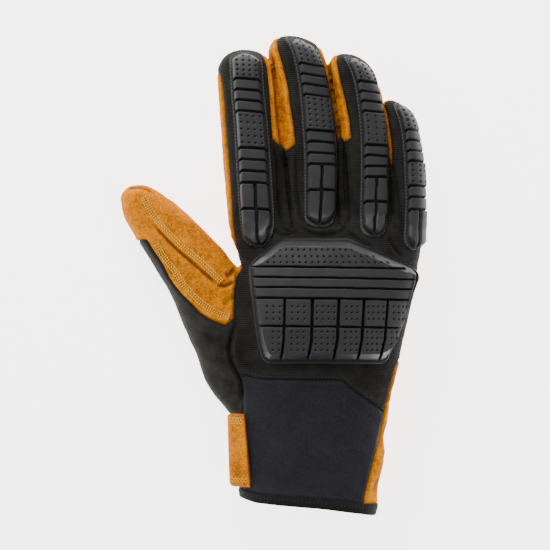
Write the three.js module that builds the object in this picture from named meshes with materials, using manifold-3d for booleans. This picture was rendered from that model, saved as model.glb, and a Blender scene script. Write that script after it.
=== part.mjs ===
// A right-hand impact glove lying palm down: fingers along +Y, thumb to -X, back of the hand up (+Z).
// The origin is the middle of the flat palm that it rests on. Millimetres.
import * as THREE from "three";
import Module from "manifold-3d";

const wasm = await Module();
wasm.setup();

// Driving dimensions
const LENGTH = 260; // middle fingertip to hem
const PALM_WIDTH = 98; // across the knuckles, without the guard
const PALM_DEPTH = 38; // palm to back of the hand
const FINGER_WIDTH = 32; // index finger
const FINGER_DEPTH = 25;
const THUMB_DEPTH = 30;
const TIP_ROUND = 14; // length of a rounded fingertip
const WALL = 1.8; // leather and knit
const CLEARANCE = 0.3; // between neighbouring pieces
const BINDING_PROUD = 0.9; // the hem binding stands this much outside the cuff
const BACK_SIDE = 9; // height where the back panel ends on the sides
const FLANGE_THICK = 1.6; // thin sewn edge of a moulded guard
const FINGER_PAD_HEIGHT = 4.6; // top of a finger pad above the skin
const KNUCKLE_PAD_HEIGHT = 7;
const KNUCKLE_BAR_HEIGHT = 7.6;
const BEVEL = 1.3; // sloped edge of each knuckle pad
const FINGER_BEVEL = 0.9; // sloped edge of each finger pad
const GROOVE = 1; // between moulded pads
const FINGER_GUARD_WIDTH = 14.4; // pads of the index finger
const FLANGE_MARGIN = 1.9; // flange beyond the pads
const TAB_WIDTH = 12;
const TAB_THICK = 2;
const TAB_TILT = THREE.MathUtils.degToRad(38);
const TAB_BOW = 3; // the pull tab stands this far off the cuff in its middle
const WELT_WIDTH = 6.5;
const WELT_RISE = 2.4; // top of a welt above the valley between two fingers

// Mesh fineness
const HAND_SIDES = 22;
const FINGER_SIDES = 14;
const HAND_FORM = { sides: HAND_SIDES, power: 2.5 }; // power is squareness, 2 is an ellipse
const FINGER_FORM = { sides: FINGER_SIDES, power: 2.2 };
const WELT_FORM = { sides: 10, power: 2 };
const KNUCKLE_GRID = 7; // cells across the knuckle guard
const FLANGE_GRID = { across: 3, along: 8 }; // cells of a finger guard's flange
const TIP_POWER = 2.5; // fullness of a rounded fingertip
const TIP_SHARES = [1, 0.55, 0.25, 0.08, 0]; // sections of a rounded tip, back from its end
const LEAST_DOME = 0.12; // share of the width left at the very tip
const LEAST_HALF = 0.8;
const SLOPE_STEP = 0.015; // share of LENGTH over which a finger's direction is read
const ROOT_DEPTH = 1.5; // a guard's underside starts this far inside the skin and is cut back to it
const GRID = 0.004; // corners are rounded to this
const FLATTENED = 0.07; // share of the depth that rests flattened on the surface

// Hand and cuff: y in shares of LENGTH, left and right of PALM_WIDTH, depth of PALM_DEPTH
const HAND_ROWS = [
  { y: -0.46, left: -0.437, right: 0.312, depth: 1.06 },
  { y: -0.39, left: -0.447, right: 0.33, depth: 1.02 },
  { y: -0.3, left: -0.46, right: 0.37, depth: 0.95 },
  { y: -0.22, left: -0.468, right: 0.404, depth: 0.92 },
  { y: -0.165, left: -0.466, right: 0.43, depth: 0.94 },
  { y: -0.1, left: -0.47, right: 0.456, depth: 0.97 },
  { y: -0.03, left: -0.468, right: 0.492, depth: 1 },
  { y: 0.03, left: -0.46, right: 0.53, depth: 0.98 },
  { y: 0.08, left: -0.446, right: 0.54, depth: 0.93 },
  { y: 0.12, left: -0.426, right: 0.53, depth: 0.85 },
  { y: 0.155, left: -0.39, right: 0.49, depth: 0.72 },
  { y: 0.18, left: -0.33, right: 0.42, depth: 0.55 },
];

// Fingers: y in shares of LENGTH, x of PALM_WIDTH, width of FINGER_WIDTH, depth of FINGER_DEPTH;
// roll, in degrees, is how far the finger's back is turned towards the little finger
const FINGERS = {
  index: {
    guard: { from: 0.103, to: 0.516, width: 1, style: "long" },
    rows: [
      { y: 0.079, x: -0.32, width: 0.844, depth: 1.08, roll: 0 },
      { y: 0.156, x: -0.344, width: 0.979, depth: 1.05, roll: 0 },
      { y: 0.27, x: -0.367, width: 0.996, depth: 0.98, roll: 0 },
      { y: 0.395, x: -0.391, width: 1, depth: 0.92, roll: 0 },
      { y: 0.457, x: -0.405, width: 0.979, depth: 0.88, roll: 1 },
      { y: 0.521, x: -0.413, width: 0.9, depth: 0.8, roll: 2 },
    ],
  },
  middle: {
    guard: { from: 0.142, to: 0.548, width: 0.98, style: "long" },
    rows: [
      { y: 0.087, x: -0.033, width: 0.844, depth: 1.1, roll: 12 },
      { y: 0.156, x: -0.039, width: 0.894, depth: 1.08, roll: 14 },
      { y: 0.26, x: -0.043, width: 0.908, depth: 1.01, roll: 17 },
      { y: 0.35, x: -0.056, width: 0.921, depth: 0.96, roll: 18 },
      { y: 0.43, x: -0.084, width: 0.908, depth: 0.92, roll: 21 },
      { y: 0.49, x: -0.12, width: 0.89, depth: 0.87, roll: 24 },
      { y: 0.551, x: -0.165, width: 0.844, depth: 0.8, roll: 24 },
    ],
  },
  ring: {
    guard: { from: 0.122, to: 0.51, width: 0.92, style: "long" },
    rows: [
      { y: 0.073, x: 0.253, width: 0.709, depth: 1.06, roll: 16 },
      { y: 0.145, x: 0.256, width: 0.793, depth: 1.03, roll: 18 },
      { y: 0.25, x: 0.25, width: 0.815, depth: 0.97, roll: 21 },
      { y: 0.34, x: 0.234, width: 0.837, depth: 0.92, roll: 24 },
      { y: 0.41, x: 0.206, width: 0.835, depth: 0.88, roll: 28 },
      { y: 0.46, x: 0.178, width: 0.8, depth: 0.84, roll: 30 },
      { y: 0.514, x: 0.138, width: 0.743, depth: 0.78, roll: 30 },
    ],
  },
  little: {
    guard: { from: 0.1, to: 0.413, width: 0.8, style: "short" },
    rows: [
      { y: 0.066, x: 0.452, width: 0.5, depth: 0.95, roll: 30 },
      { y: 0.125, x: 0.463, width: 0.58, depth: 0.93, roll: 32 },
      { y: 0.2, x: 0.461, width: 0.625, depth: 0.89, roll: 34 },
      { y: 0.3, x: 0.446, width: 0.613, depth: 0.83, roll: 37 },
      { y: 0.374, x: 0.413, width: 0.57, depth: 0.77, roll: 42 },
      { y: 0.416, x: 0.384, width: 0.5, depth: 0.7, roll: 44 },
    ],
  },
};

// Thumb: the two sides of its outline, x in shares of PALM_WIDTH and y of LENGTH, depth of THUMB_DEPTH
const THUMB_ROWS = [
  { lowX: -0.49, lowY: -0.232, highX: 0, highY: -0.14, depth: 0.9 },
  { lowX: -0.57, lowY: -0.195, highX: -0.15, highY: -0.075, depth: 0.98 },
  { lowX: -0.635, lowY: -0.155, highX: -0.26, highY: -0.035, depth: 1.02 },
  { lowX: -0.71, lowY: -0.08, highX: -0.42, highY: 0.04, depth: 1.03 },
  { lowX: -0.762, lowY: -0.035, highX: -0.485, highY: 0.078, depth: 1 },
  { lowX: -0.888, lowY: 0.053, highX: -0.655, highY: 0.143, depth: 0.92 },
  { lowX: -1.016, lowY: 0.131, highX: -0.818, highY: 0.201, depth: 0.84 },
  { lowX: -1.066, lowY: 0.166, highX: -0.898, highY: 0.224, depth: 0.78 },
  { lowX: -1.092, lowY: 0.2, highX: -0.985, highY: 0.238, depth: 0.66 },
  { lowX: -1.08, lowY: 0.224, highX: -1.04, highY: 0.236, depth: 0.4 },
];

// Seams seen from above, x in shares of PALM_WIDTH and y of LENGTH
const SEAMS = {
  back: [
    [-0.437, 0.072], [-0.47, 0.12], [-0.5, 0.2], [-0.512, 0.3], [-0.523, 0.38], [-0.54, 0.45],
    [-0.54, 0.5], [-0.5, 0.535], [-0.34, 0.535], [-0.305, 0.5], [-0.275, 0.44], [-0.262, 0.36], [-0.255, 0.33],
    [-0.205, 0.316], [-0.143, 0.324], [-0.155, 0.375], [-0.175, 0.43], [-0.2, 0.48], [-0.24, 0.53],
    [-0.23, 0.57], [-0.06, 0.57], [0.02, 0.51], [0.065, 0.43], [0.108, 0.33], [0.122, 0.325],
    [0.17, 0.337], [0.16, 0.38], [0.13, 0.44], [0.09, 0.49], [0.1, 0.535], [0.25, 0.53],
    [0.345, 0.43], [0.39, 0.28], [0.37, 0.39], [0.36, 0.43], [0.52, 0.43], [0.64, 0.3], [0.66, 0.1],
    [0.56, 0.06], [0.5, -0.05], [0.43, -0.14], [0.365, -0.225], [0.33, -0.26], [-0.3, -0.25], [-0.5, -0.25],
    [-0.56, -0.1], [-0.56, 0.02], [-0.5, 0.05],
  ],
  cuff: [
    [-0.7, -0.19], [-0.46, -0.166], [-0.3, -0.17], [0.12, -0.17], [0.2, -0.176],
    [0.29, -0.218], [0.357, -0.24], [0.345, -0.27], [0.32, -0.3], [0.275, -0.36], [0.235, -0.44],
    [0.23, -0.52], [-0.7, -0.52],
  ],
  gusset: [
    [-1.25, 0.11], [-1.2, 0.19], [-1, 0.19], [-0.8, 0.1], [-0.6, 0.04], [-0.485, -0.02],
    [-0.47, -0.045], [-0.488, -0.075], [-0.492, -0.14], [-0.441, -0.158], [-0.42, -0.228], [-0.75, -0.235],
  ],
  thumb: [
    [-1.3, 0.112], [-1.01, 0.137], [-0.95, 0.129], [-0.88, 0.087], [-0.769, 0.021], [-0.66, -0.023],
    [-0.529, -0.049], [-0.47, -0.041], [-0.467, -0.01], [-0.441, 0.066], [-0.452, 0.09], [-0.54, 0.2],
    [-0.8, 0.32], [-1.3, 0.32],
  ],
  hem: [[-0.8, -0.386], [-0.3, -0.4], [0.0, -0.408], [0.3, -0.422], [0.8, -0.434]],
};
const HEM_DEPTH = 0.034; // share of LENGTH that the hem binding covers

// Lines from above that part the fingers from the hand and from each other, x in shares of PALM_WIDTH, y of LENGTH
const FINGER_ROOT = 0.17;
const FINGER_TOP = 0.6;
const FINGER_LINES = [
  [[-0.62, FINGER_ROOT], [-0.62, FINGER_TOP]],
  [[-0.186, FINGER_ROOT], [-0.2, 0.25], [-0.208, 0.33], [-0.238, 0.44], [-0.266, 0.5], [-0.34, FINGER_TOP]],
  [[0.117, FINGER_ROOT], [0.111, 0.25], [0.0965, 0.34], [0.071, 0.41], [0.046, 0.46], [0.02, 0.514],
    [-0.02, FINGER_TOP]],
  [[0.375, FINGER_ROOT], [0.371, 0.2], [0.361, 0.3], [0.338, 0.374], [0.342, 0.418], [0.36, 0.44],
    [0.36, FINGER_TOP]],
  [[0.75, FINGER_ROOT], [0.75, FINGER_TOP]],
];

// Knuckle guard: edges of its flange, y in shares of LENGTH, left and right of PALM_WIDTH
const KNUCKLE_FLANGE = [
  { y: -0.137, left: -0.31, right: 0.38 },
  { y: -0.115, left: -0.345, right: 0.42 },
  { y: -0.05, left: -0.373, right: 0.487 },
  { y: 0.02, left: -0.4, right: 0.55 },
  { y: 0.078, left: -0.403, right: 0.57 },
  { y: 0.096, left: -0.392, right: 0.52 },
  { y: 0.104, left: -0.37, right: 0.47 },
  { y: 0.134, left: -0.27, right: 0.27 },
  { y: 0.142, left: -0.22, right: 0.17 },
];
// The moulded blocks on it, each a four-cornered block: left, right at its top, left, right at its bottom
const KNUCKLE_BLOCKS = [
  { top: 0.136, bottom: 0.075, topLeft: -0.225, topRight: 0.165, left: -0.375, right: 0.5, height: 0.93 },
  { top: 0.069, bottom: 0.043, topLeft: -0.378, topRight: 0.537, left: -0.373, right: 0.55, height: 1 },
  { top: 0.038, bottom: 0.017, topLeft: -0.372, topRight: 0.548, left: -0.368, right: 0.525, height: 1 },
  { top: 0.012, bottom: -0.006, topLeft: -0.366, topRight: 0.523, left: -0.36, right: 0.505, height: 1 },
];
const KNUCKLE_COLUMNS = [
  { top: -0.36, bottom: -0.318 },
  { top: -0.2, bottom: -0.222 },
  { top: -0.045, bottom: -0.067 },
  { top: 0.104, bottom: 0.079 },
  { top: 0.244, bottom: 0.213 },
  { top: 0.376, bottom: 0.337 },
  { top: 0.5, bottom: 0.378 },
];
const KNUCKLE_PAD_ROWS = [
  { from: -0.008, to: -0.053 },
  { from: -0.056, to: -0.12 },
];

// Finger guards: places along the guard in shares of its length from the tip
const GUARD_STYLES = {
  long: [
    { from: 0.01, to: 0.138, height: 1, narrow: 0.9, split: 1 },
    { from: 0.148, to: 0.194, height: 0.83, narrow: 0.9, split: 1 },
    { from: 0.203, to: 0.248, height: 0.83, narrow: 0.92, split: 1 },
    { from: 0.257, to: 0.303, height: 0.83, narrow: 0.94, split: 1 },
    { from: 0.312, to: 0.489, height: 1, narrow: 0.96, split: 1 },
    { from: 0.499, to: 0.548, height: 0.83, narrow: 0.98, split: 1 },
    { from: 0.557, to: 0.607, height: 0.83, narrow: 1, split: 1 },
    { from: 0.616, to: 0.665, height: 0.83, narrow: 1, split: 1 },
    { from: 0.675, to: 0.798, height: 1, narrow: 1, split: 2 },
    { from: 0.808, to: 0.975, height: 1, narrow: 0.82, split: 2 },
  ],
  short: [
    { from: 0.01, to: 0.185, height: 1, narrow: 0.86, split: 1 },
    { from: 0.197, to: 0.254, height: 0.83, narrow: 0.9, split: 1 },
    { from: 0.265, to: 0.322, height: 0.83, narrow: 0.94, split: 1 },
    { from: 0.333, to: 0.393, height: 0.83, narrow: 0.97, split: 1 },
    { from: 0.405, to: 0.56, height: 1, narrow: 1, split: 1 },
    { from: 0.572, to: 0.634, height: 0.83, narrow: 1, split: 1 },
    { from: 0.645, to: 0.718, height: 0.83, narrow: 1, split: 1 },
    { from: 0.73, to: 0.97, height: 1, narrow: 0.85, split: 2 },
  ],
};

// Pull tab, by its sewn edge, and welts: ends seen from above, x in shares of PALM_WIDTH and y of LENGTH
const TAB_ENDS = { top: [-0.42, -0.237], bottom: [-0.388, -0.383] };
const WELTS = {
  index_middle: { top: [-0.235, 0.29], bottom: [-0.195, 0.145] },
  middle_ring: { top: [0.11, 0.29], bottom: [0.13, 0.155] },
};

// A closed solid from points and triangles, turned so that its faces point out
function solidFrom(points, triangles) {
  let volume = 0;
  for (const [a, b, c] of triangles) {
    volume += points[a].dot(new THREE.Vector3().crossVectors(points[b], points[c])) / 6;
  }
  const facing = volume > 0 ? triangles : triangles.map(([a, b, c]) => [a, c, b]);
  return new wasm.Manifold(new wasm.Mesh({
    numProp: 3,
    vertProperties: new Float32Array(points.flatMap((p) => [p.x, p.y, p.z])),
    triVerts: new Uint32Array(facing.flat()),
  }));
}

// A solid through rings of equally many points, closed by a fan at each end
function loft(rings) {
  const sides = rings[0].length;
  const points = rings.flat();
  const triangles = [];
  for (let i = 0; i + 1 < rings.length; i += 1) {
    for (let j = 0; j < sides; j += 1) {
      const a = i * sides + j;
      const b = i * sides + ((j + 1) % sides);
      triangles.push([a, b, a + sides], [b, b + sides, a + sides]);
    }
  }
  for (const [first, turned] of [[0, true], [(rings.length - 1) * sides, false]]) {
    const ring = points.slice(first, first + sides);
    const middle = ring.reduce((sum, p) => sum.add(p), new THREE.Vector3()).divideScalar(sides);
    const centre = points.push(middle) - 1;
    for (let j = 0; j < sides; j += 1) {
      const a = first + j;
      const b = first + ((j + 1) % sides);
      triangles.push(turned ? [centre, b, a] : [centre, a, b]);
    }
  }
  return solidFrom(points, triangles);
}

// A table's columns at one place along it, on straight lines between its rows
function columnsAt(rows, key, value) {
  let i = 0;
  while (i < rows.length - 2 && value > rows[i + 1][key]) i += 1;
  const low = rows[i];
  const high = rows[i + 1];
  const share = THREE.MathUtils.clamp((value - low[key]) / (high[key] - low[key]), 0, 1);
  const result = {};
  for (const name of Object.keys(low)) result[name] = THREE.MathUtils.lerp(low[name], high[name], share);
  return result;
}

// Signed power, for squared-off round sections
function rounded(value, power) {
  return Math.sign(value) * Math.abs(value) ** (2 / power);
}

// One section ring: half sizes along side and up round a centre, flattened at the floor
function sectionRing(centre, side, halfWidth, halfDepth, form, floor) {
  const { sides, power } = form;
  const ring = [];
  for (let i = 0; i < sides; i += 1) {
    const angle = (2 * Math.PI * i) / sides;
    const point = centre.clone().addScaledVector(side, halfWidth * rounded(Math.cos(angle), power));
    point.z = Math.max(floor, point.z + halfDepth * rounded(Math.sin(angle), power));
    ring.push(point);
  }
  return ring;
}

// Half depth and centre height of a section that rests flattened on the surface
function seated(depth) {
  const half = (depth * (1 + FLATTENED)) / 2;
  return { half, height: depth - half };
}

const ACROSS = new THREE.Vector3(1, 0, 0);

// Hand and cuff as one body, grown outwards by a distance
function handBody(grow) {
  const rings = HAND_ROWS.map((row, i) => {
    const { half, height } = seated(row.depth * PALM_DEPTH);
    const middle = ((row.left + row.right) / 2) * PALM_WIDTH;
    const halfWidth = ((row.right - row.left) / 2) * PALM_WIDTH + grow;
    const end = i === HAND_ROWS.length - 1 ? grow : 0;
    const centre = new THREE.Vector3(middle, row.y * LENGTH + end, height);
    return sectionRing(centre, ACROSS, halfWidth, half + grow, HAND_FORM, -Math.min(grow, 0));
  });
  return loft(rings);
}

// Centre, direction across and half sizes of a finger at one y
function fingerStation(finger, y) {
  const row = columnsAt(finger.rows, "y", y / LENGTH);
  const before = columnsAt(finger.rows, "y", y / LENGTH - SLOPE_STEP);
  const after = columnsAt(finger.rows, "y", y / LENGTH + SLOPE_STEP);
  const along = new THREE.Vector3((after.x - before.x) * PALM_WIDTH, (after.y - before.y) * LENGTH, 0).normalize();
  const { half, height } = seated(row.depth * FINGER_DEPTH);
  const tip = finger.rows.at(-1).y * LENGTH;
  const past = THREE.MathUtils.clamp(1 - (tip - y) / TIP_ROUND, 0, 1);
  return {
    centre: new THREE.Vector3(row.x * PALM_WIDTH, y, height),
    side: new THREE.Vector3(along.y, -along.x, 0),
    halfWidth: (row.width * FINGER_WIDTH) / 2,
    halfDepth: half,
    dome: Math.max(LEAST_DOME, (1 - past ** TIP_POWER) ** (1 / TIP_POWER)),
    roll: THREE.MathUtils.degToRad(row.roll),
  };
}

function fingerBody(finger, grow) {
  const tip = finger.rows.at(-1).y * LENGTH;
  const places = finger.rows.slice(0, -1).map((row) => row.y * LENGTH).filter((y) => y < tip - TIP_ROUND * 1.2);
  for (const share of TIP_SHARES) places.push(tip - TIP_ROUND * share);
  const rings = places.map((y) => {
    const station = fingerStation(finger, y);
    const centre = station.centre;
    centre.y += Math.max(0, 1 - (tip - y) / TIP_ROUND) * grow;
    const halfWidth = Math.max(LEAST_HALF, station.halfWidth * station.dome + grow);
    const halfDepth = Math.max(LEAST_HALF, station.halfDepth * station.dome + grow);
    return sectionRing(centre, station.side, halfWidth, halfDepth, FINGER_FORM, -Math.min(grow, 0));
  });
  return loft(rings);
}

function thumbBody(grow) {
  const last = THUMB_ROWS.length - 1;
  const rings = THUMB_ROWS.map((row, i) => {
    const low = new THREE.Vector3(row.lowX * PALM_WIDTH, row.lowY * LENGTH, 0);
    const high = new THREE.Vector3(row.highX * PALM_WIDTH, row.highY * LENGTH, 0);
    const { half, height } = seated(row.depth * THUMB_DEPTH);
    const side = high.clone().sub(low).normalize();
    const centre = low.clone().add(high).multiplyScalar(0.5);
    centre.z = height;
    const outward = new THREE.Vector3(-side.y, side.x, 0);
    centre.addScaledVector(outward, i > last - 2 ? grow : 0);
    const halfWidth = Math.max(LEAST_HALF, low.distanceTo(high) / 2 + grow);
    const halfDepth = Math.max(LEAST_HALF, half + grow);
    return sectionRing(centre, side, halfWidth, halfDepth, FINGER_FORM, -Math.min(grow, 0));
  });
  return loft(rings);
}

// The whole outer form, grown by a distance: less than nothing gives the hollow
function gloveBody(grow) {
  let body = handBody(grow).add(thumbBody(grow));
  for (const finger of Object.values(FINGERS)) body = body.add(fingerBody(finger, grow));
  return body;
}

// An upright block over an outline seen from above, grown by a distance
function uprightBlock(outline, grow, low, high) {
  const points = outline.map(([x, y]) => new THREE.Vector2(x * PALM_WIDTH, y * LENGTH));
  if (THREE.ShapeUtils.area(points) < 0) points.reverse();
  const moved = points.map((point, i) => {
    const before = points[(i + points.length - 1) % points.length];
    const after = points[(i + 1) % points.length];
    const normalBefore = new THREE.Vector2(point.y - before.y, before.x - point.x).normalize();
    const normalAfter = new THREE.Vector2(after.y - point.y, point.x - after.x).normalize();
    const normal = normalBefore.add(normalAfter).normalize();
    return point.clone().addScaledVector(normal, grow);
  });
  const faces = THREE.ShapeUtils.triangulateShape(moved, []);
  const count = moved.length;
  const solidPoints = [low, high].flatMap((z) => moved.map((p) => new THREE.Vector3(p.x, p.y, z)));
  const triangles = [];
  for (const [a, b, c] of faces) triangles.push([a, c, b], [a + count, b + count, c + count]);
  for (let i = 0; i < count; i += 1) {
    const j = (i + 1) % count;
    triangles.push([i, j, j + count], [i, j + count, i + count]);
  }
  return solidFrom(solidPoints, triangles);
}

// A raised block with sloped edges on a surface: place(u, v, height) gives its points, corners are [u, v]
function mouldedBlock(place, corners, low, high, bevel, across, along) {
  const [topLeft, topRight, bottomRight, bottomLeft] = corners.map(([u, v]) => new THREE.Vector2(u, v));
  const middle = topLeft.clone().add(topRight).add(bottomRight).add(bottomLeft).multiplyScalar(0.25);
  const shrink = (corner) => corner.clone().add(new THREE.Vector2(
    Math.sign(middle.x - corner.x) * bevel, Math.sign(middle.y - corner.y) * bevel));
  const grid = (a, b, c, d, height) => {
    const points = [];
    for (let j = 0; j <= along; j += 1) {
      const left = a.clone().lerp(d, j / along);
      const right = b.clone().lerp(c, j / along);
      for (let i = 0; i <= across; i += 1) {
        const at = left.clone().lerp(right, i / across);
        points.push(place(at.x, at.y, height));
      }
    }
    return points;
  };
  const bottom = grid(topLeft, topRight, bottomRight, bottomLeft, low);
  const waist = grid(topLeft, topRight, bottomRight, bottomLeft, Math.max(low, high - bevel));
  const top = grid(...[topLeft, topRight, bottomRight, bottomLeft].map(shrink), high);
  return boxLike([bottom, waist, top], across, along);
}

// Joins layers of grid points into one closed solid: the first layer is its floor, the last its roof
function boxLike(layers, across, along) {
  const wide = across + 1;
  const count = wide * (along + 1);
  const rim = [];
  for (let i = 0; i < across; i += 1) rim.push(i);
  for (let j = 0; j < along; j += 1) rim.push(j * wide + across);
  for (let i = across; i > 0; i -= 1) rim.push(along * wide + i);
  for (let j = along; j > 0; j -= 1) rim.push(j * wide);
  const triangles = [];
  const roof = (layers.length - 1) * count;
  for (let j = 0; j < along; j += 1) {
    for (let i = 0; i < across; i += 1) {
      const a = j * wide + i;
      const b = a + wide;
      triangles.push([a, a + 1, b], [a + 1, b + 1, b]);
      triangles.push([roof + a, roof + b, roof + a + 1], [roof + a + 1, roof + b, roof + b + 1]);
    }
  }
  for (let k = 0; k + 1 < layers.length; k += 1) {
    for (let i = 0; i < rim.length; i += 1) {
      const a = k * count + rim[i];
      const b = k * count + rim[(i + 1) % rim.length];
      triangles.push([a, a + count, b], [b, a + count, b + count]);
    }
  }
  return solidFrom(layers.flat(), triangles);
}

// Top of the hand over a place seen from above
function handTop(x, y) {
  const row = columnsAt(HAND_ROWS, "y", y / LENGTH);
  const { half, height } = seated(row.depth * PALM_DEPTH);
  const middle = ((row.left + row.right) / 2) * PALM_WIDTH;
  const halfWidth = ((row.right - row.left) / 2) * PALM_WIDTH;
  const share = Math.min(0.985, Math.abs(x - middle) / halfWidth);
  return height + half * (1 - share ** HAND_FORM.power) ** (1 / HAND_FORM.power);
}

const outer = gloveBody(0);
const hollow = gloveBody(-WALL);
const clear = gloveBody(CLEARANCE);
const HIGH = PALM_DEPTH * 3;

// Where the hem starts: above it are the panels, below it the binding
const hemTop = SEAMS.hem;
const hemLow = [...SEAMS.hem].reverse().map(([x, y]) => [x, y - 1]);
const belowHem = uprightBlock([...hemTop, ...hemLow], 0, -HIGH, HIGH);
const pastBinding = uprightBlock([...hemTop, ...hemLow].map(([x, y]) => [x, y - HEM_DEPTH]), 0, -HIGH, HIGH);

function region(outline, grow, low) {
  return uprightBlock(outline, grow, low, HIGH);
}

// The same solid with its corners on a fine grid, and corners that fall together made one
function settled(solid) {
  const mesh = solid.getMesh();
  const places = new Map();
  const points = [];
  const newIndex = [];
  for (let i = 0; i < mesh.numVert; i += 1) {
    const place = [...mesh.vertProperties.slice(i * mesh.numProp, i * mesh.numProp + 3)]
      .map((value) => Math.round(value / GRID) * GRID);
    const key = place.map((value) => Math.round(value / GRID)).join(" ");
    if (!places.has(key)) places.set(key, points.push(new THREE.Vector3(...place)) - 1);
    newIndex.push(places.get(key));
  }
  const triangles = [];
  for (let i = 0; i < mesh.numTri; i += 1) {
    const [a, b, c] = [...mesh.triVerts.slice(i * 3, i * 3 + 3)].map((vertex) => newIndex[vertex]);
    if (a !== b && b !== c && c !== a) triangles.push([a, b, c]);
  }
  return solidFrom(points, triangles);
}

// The largest connected piece, without slivers that a cut leaves
function largest(solid) {
  const bodies = settled(solid).decompose().sort((a, b) => b.volume() - a.volume());
  return settled(bodies[0]);
}

const half = CLEARANCE / 2;
const shell = outer.subtract(hollow).subtract(belowHem);
const thumbZone = region(SEAMS.thumb, -half, -HIGH);
const thumbZoneClear = region(SEAMS.thumb, half, -HIGH);
const gussetZone = region(SEAMS.gusset, -half, BACK_SIDE / 2 + half);
const gussetZoneClear = region(SEAMS.gusset, half, BACK_SIDE / 2 - half);
const backZone = region(SEAMS.back, -half, BACK_SIDE + half);
const backZoneClear = region(SEAMS.back, half, BACK_SIDE - half);
const cuffZone = region(SEAMS.cuff, -half, BACK_SIDE + half);
const cuffZoneClear = region(SEAMS.cuff, half, BACK_SIDE - half);

const thumbLeather = largest(shell.intersect(thumbZone));
const gusset = largest(shell.intersect(gussetZone).subtract(thumbZoneClear));
const cuff = largest(shell.intersect(cuffZone).subtract(gussetZoneClear).subtract(thumbZoneClear));
const knit = shell.intersect(backZone).subtract(thumbZoneClear).subtract(gussetZoneClear).subtract(cuffZoneClear);
const leather = shell.subtract(thumbZoneClear).subtract(gussetZoneClear).subtract(cuffZoneClear)
  .subtract(backZoneClear);

// The fingers' leather and knit are pieces of their own, parted along the finger lines
const allFingers = region([...FINGER_LINES[0], ...[...FINGER_LINES.at(-1)].reverse()], half, -HIGH);
const backPanel = largest(knit.subtract(allFingers));
const palmPanel = largest(leather.subtract(allFingers));
const fingerZones = {};
for (const [i, name] of Object.keys(FINGERS).entries()) {
  fingerZones[name] = region([...FINGER_LINES[i], ...[...FINGER_LINES[i + 1]].reverse()], -half, -HIGH);
}

// Hem binding: a band round the mouth, a little proud of the cuff
function hemBinding() {
  const band = handBody(BINDING_PROUD).subtract(handBody(-WALL));
  const drop = uprightBlock([...hemTop, ...hemLow].map(([x, y]) => [x, y - CLEARANCE / LENGTH]), 0, -HIGH, HIGH);
  const flat = uprightBlock([[-2, -1], [2, -1], [2, 1], [-2, 1]], 0, -HIGH, 0);
  return largest(band.intersect(drop).subtract(pastBinding).subtract(flat));
}

// Knuckle guard: a thin flange with a perforated top block, three bars and two rows of pads
function knuckleGuard() {
  const place = (x, y, height) => new THREE.Vector3(x, y, handTop(x, y) + height);
  const rows = KNUCKLE_FLANGE;
  const across = KNUCKLE_GRID;
  const layer = (height) => rows.flatMap((row) => {
    const points = [];
    for (let i = 0; i <= across; i += 1) {
      const x = THREE.MathUtils.lerp(row.left, row.right, i / across) * PALM_WIDTH;
      points.push(place(x, row.y * LENGTH, height));
    }
    return points;
  });
  let guard = boxLike([layer(-ROOT_DEPTH), layer(FLANGE_THICK)], across, rows.length - 1);
  const addBlock = (corners, height, columns, lines) => {
    const scaled = corners.map(([x, y]) => [x * PALM_WIDTH, y * LENGTH]);
    guard = guard.add(mouldedBlock(place, scaled, -ROOT_DEPTH / 2, height, BEVEL, columns, lines));
  };
  for (const block of KNUCKLE_BLOCKS) {
    const height = KNUCKLE_BAR_HEIGHT * block.height;
    addBlock([[block.topLeft, block.top], [block.topRight, block.top],
      [block.right, block.bottom], [block.left, block.bottom]], height, KNUCKLE_GRID, 1);
  }
  const gap = GROOVE / 2 / PALM_WIDTH;
  const first = KNUCKLE_PAD_ROWS[0].from;
  const last = KNUCKLE_PAD_ROWS.at(-1).to;
  for (const { from, to } of KNUCKLE_PAD_ROWS) {
    const startShare = (from - first) / (last - first);
    const endShare = (to - first) / (last - first);
    for (let i = 0; i + 1 < KNUCKLE_COLUMNS.length; i += 1) {
      const left = KNUCKLE_COLUMNS[i];
      const right = KNUCKLE_COLUMNS[i + 1];
      const lineAt = (line, share) => THREE.MathUtils.lerp(line.top, line.bottom, share);
      addBlock([[lineAt(left, startShare) + gap, from], [lineAt(right, startShare) - gap, from],
        [lineAt(right, endShare) - gap, to], [lineAt(left, endShare) + gap, to]], KNUCKLE_PAD_HEIGHT, 1, 1);
    }
  }
  return largest(guard.subtract(clear));
}

// The finger guards end just before the knuckle guard
const knuckleOutline = [
  ...KNUCKLE_FLANGE.map((row) => [row.left, row.y]),
  ...[...KNUCKLE_FLANGE].reverse().map((row) => [row.right, row.y]),
];
const knuckleZone = region(knuckleOutline, CLEARANCE + FLANGE_THICK / 2, 0);

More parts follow.
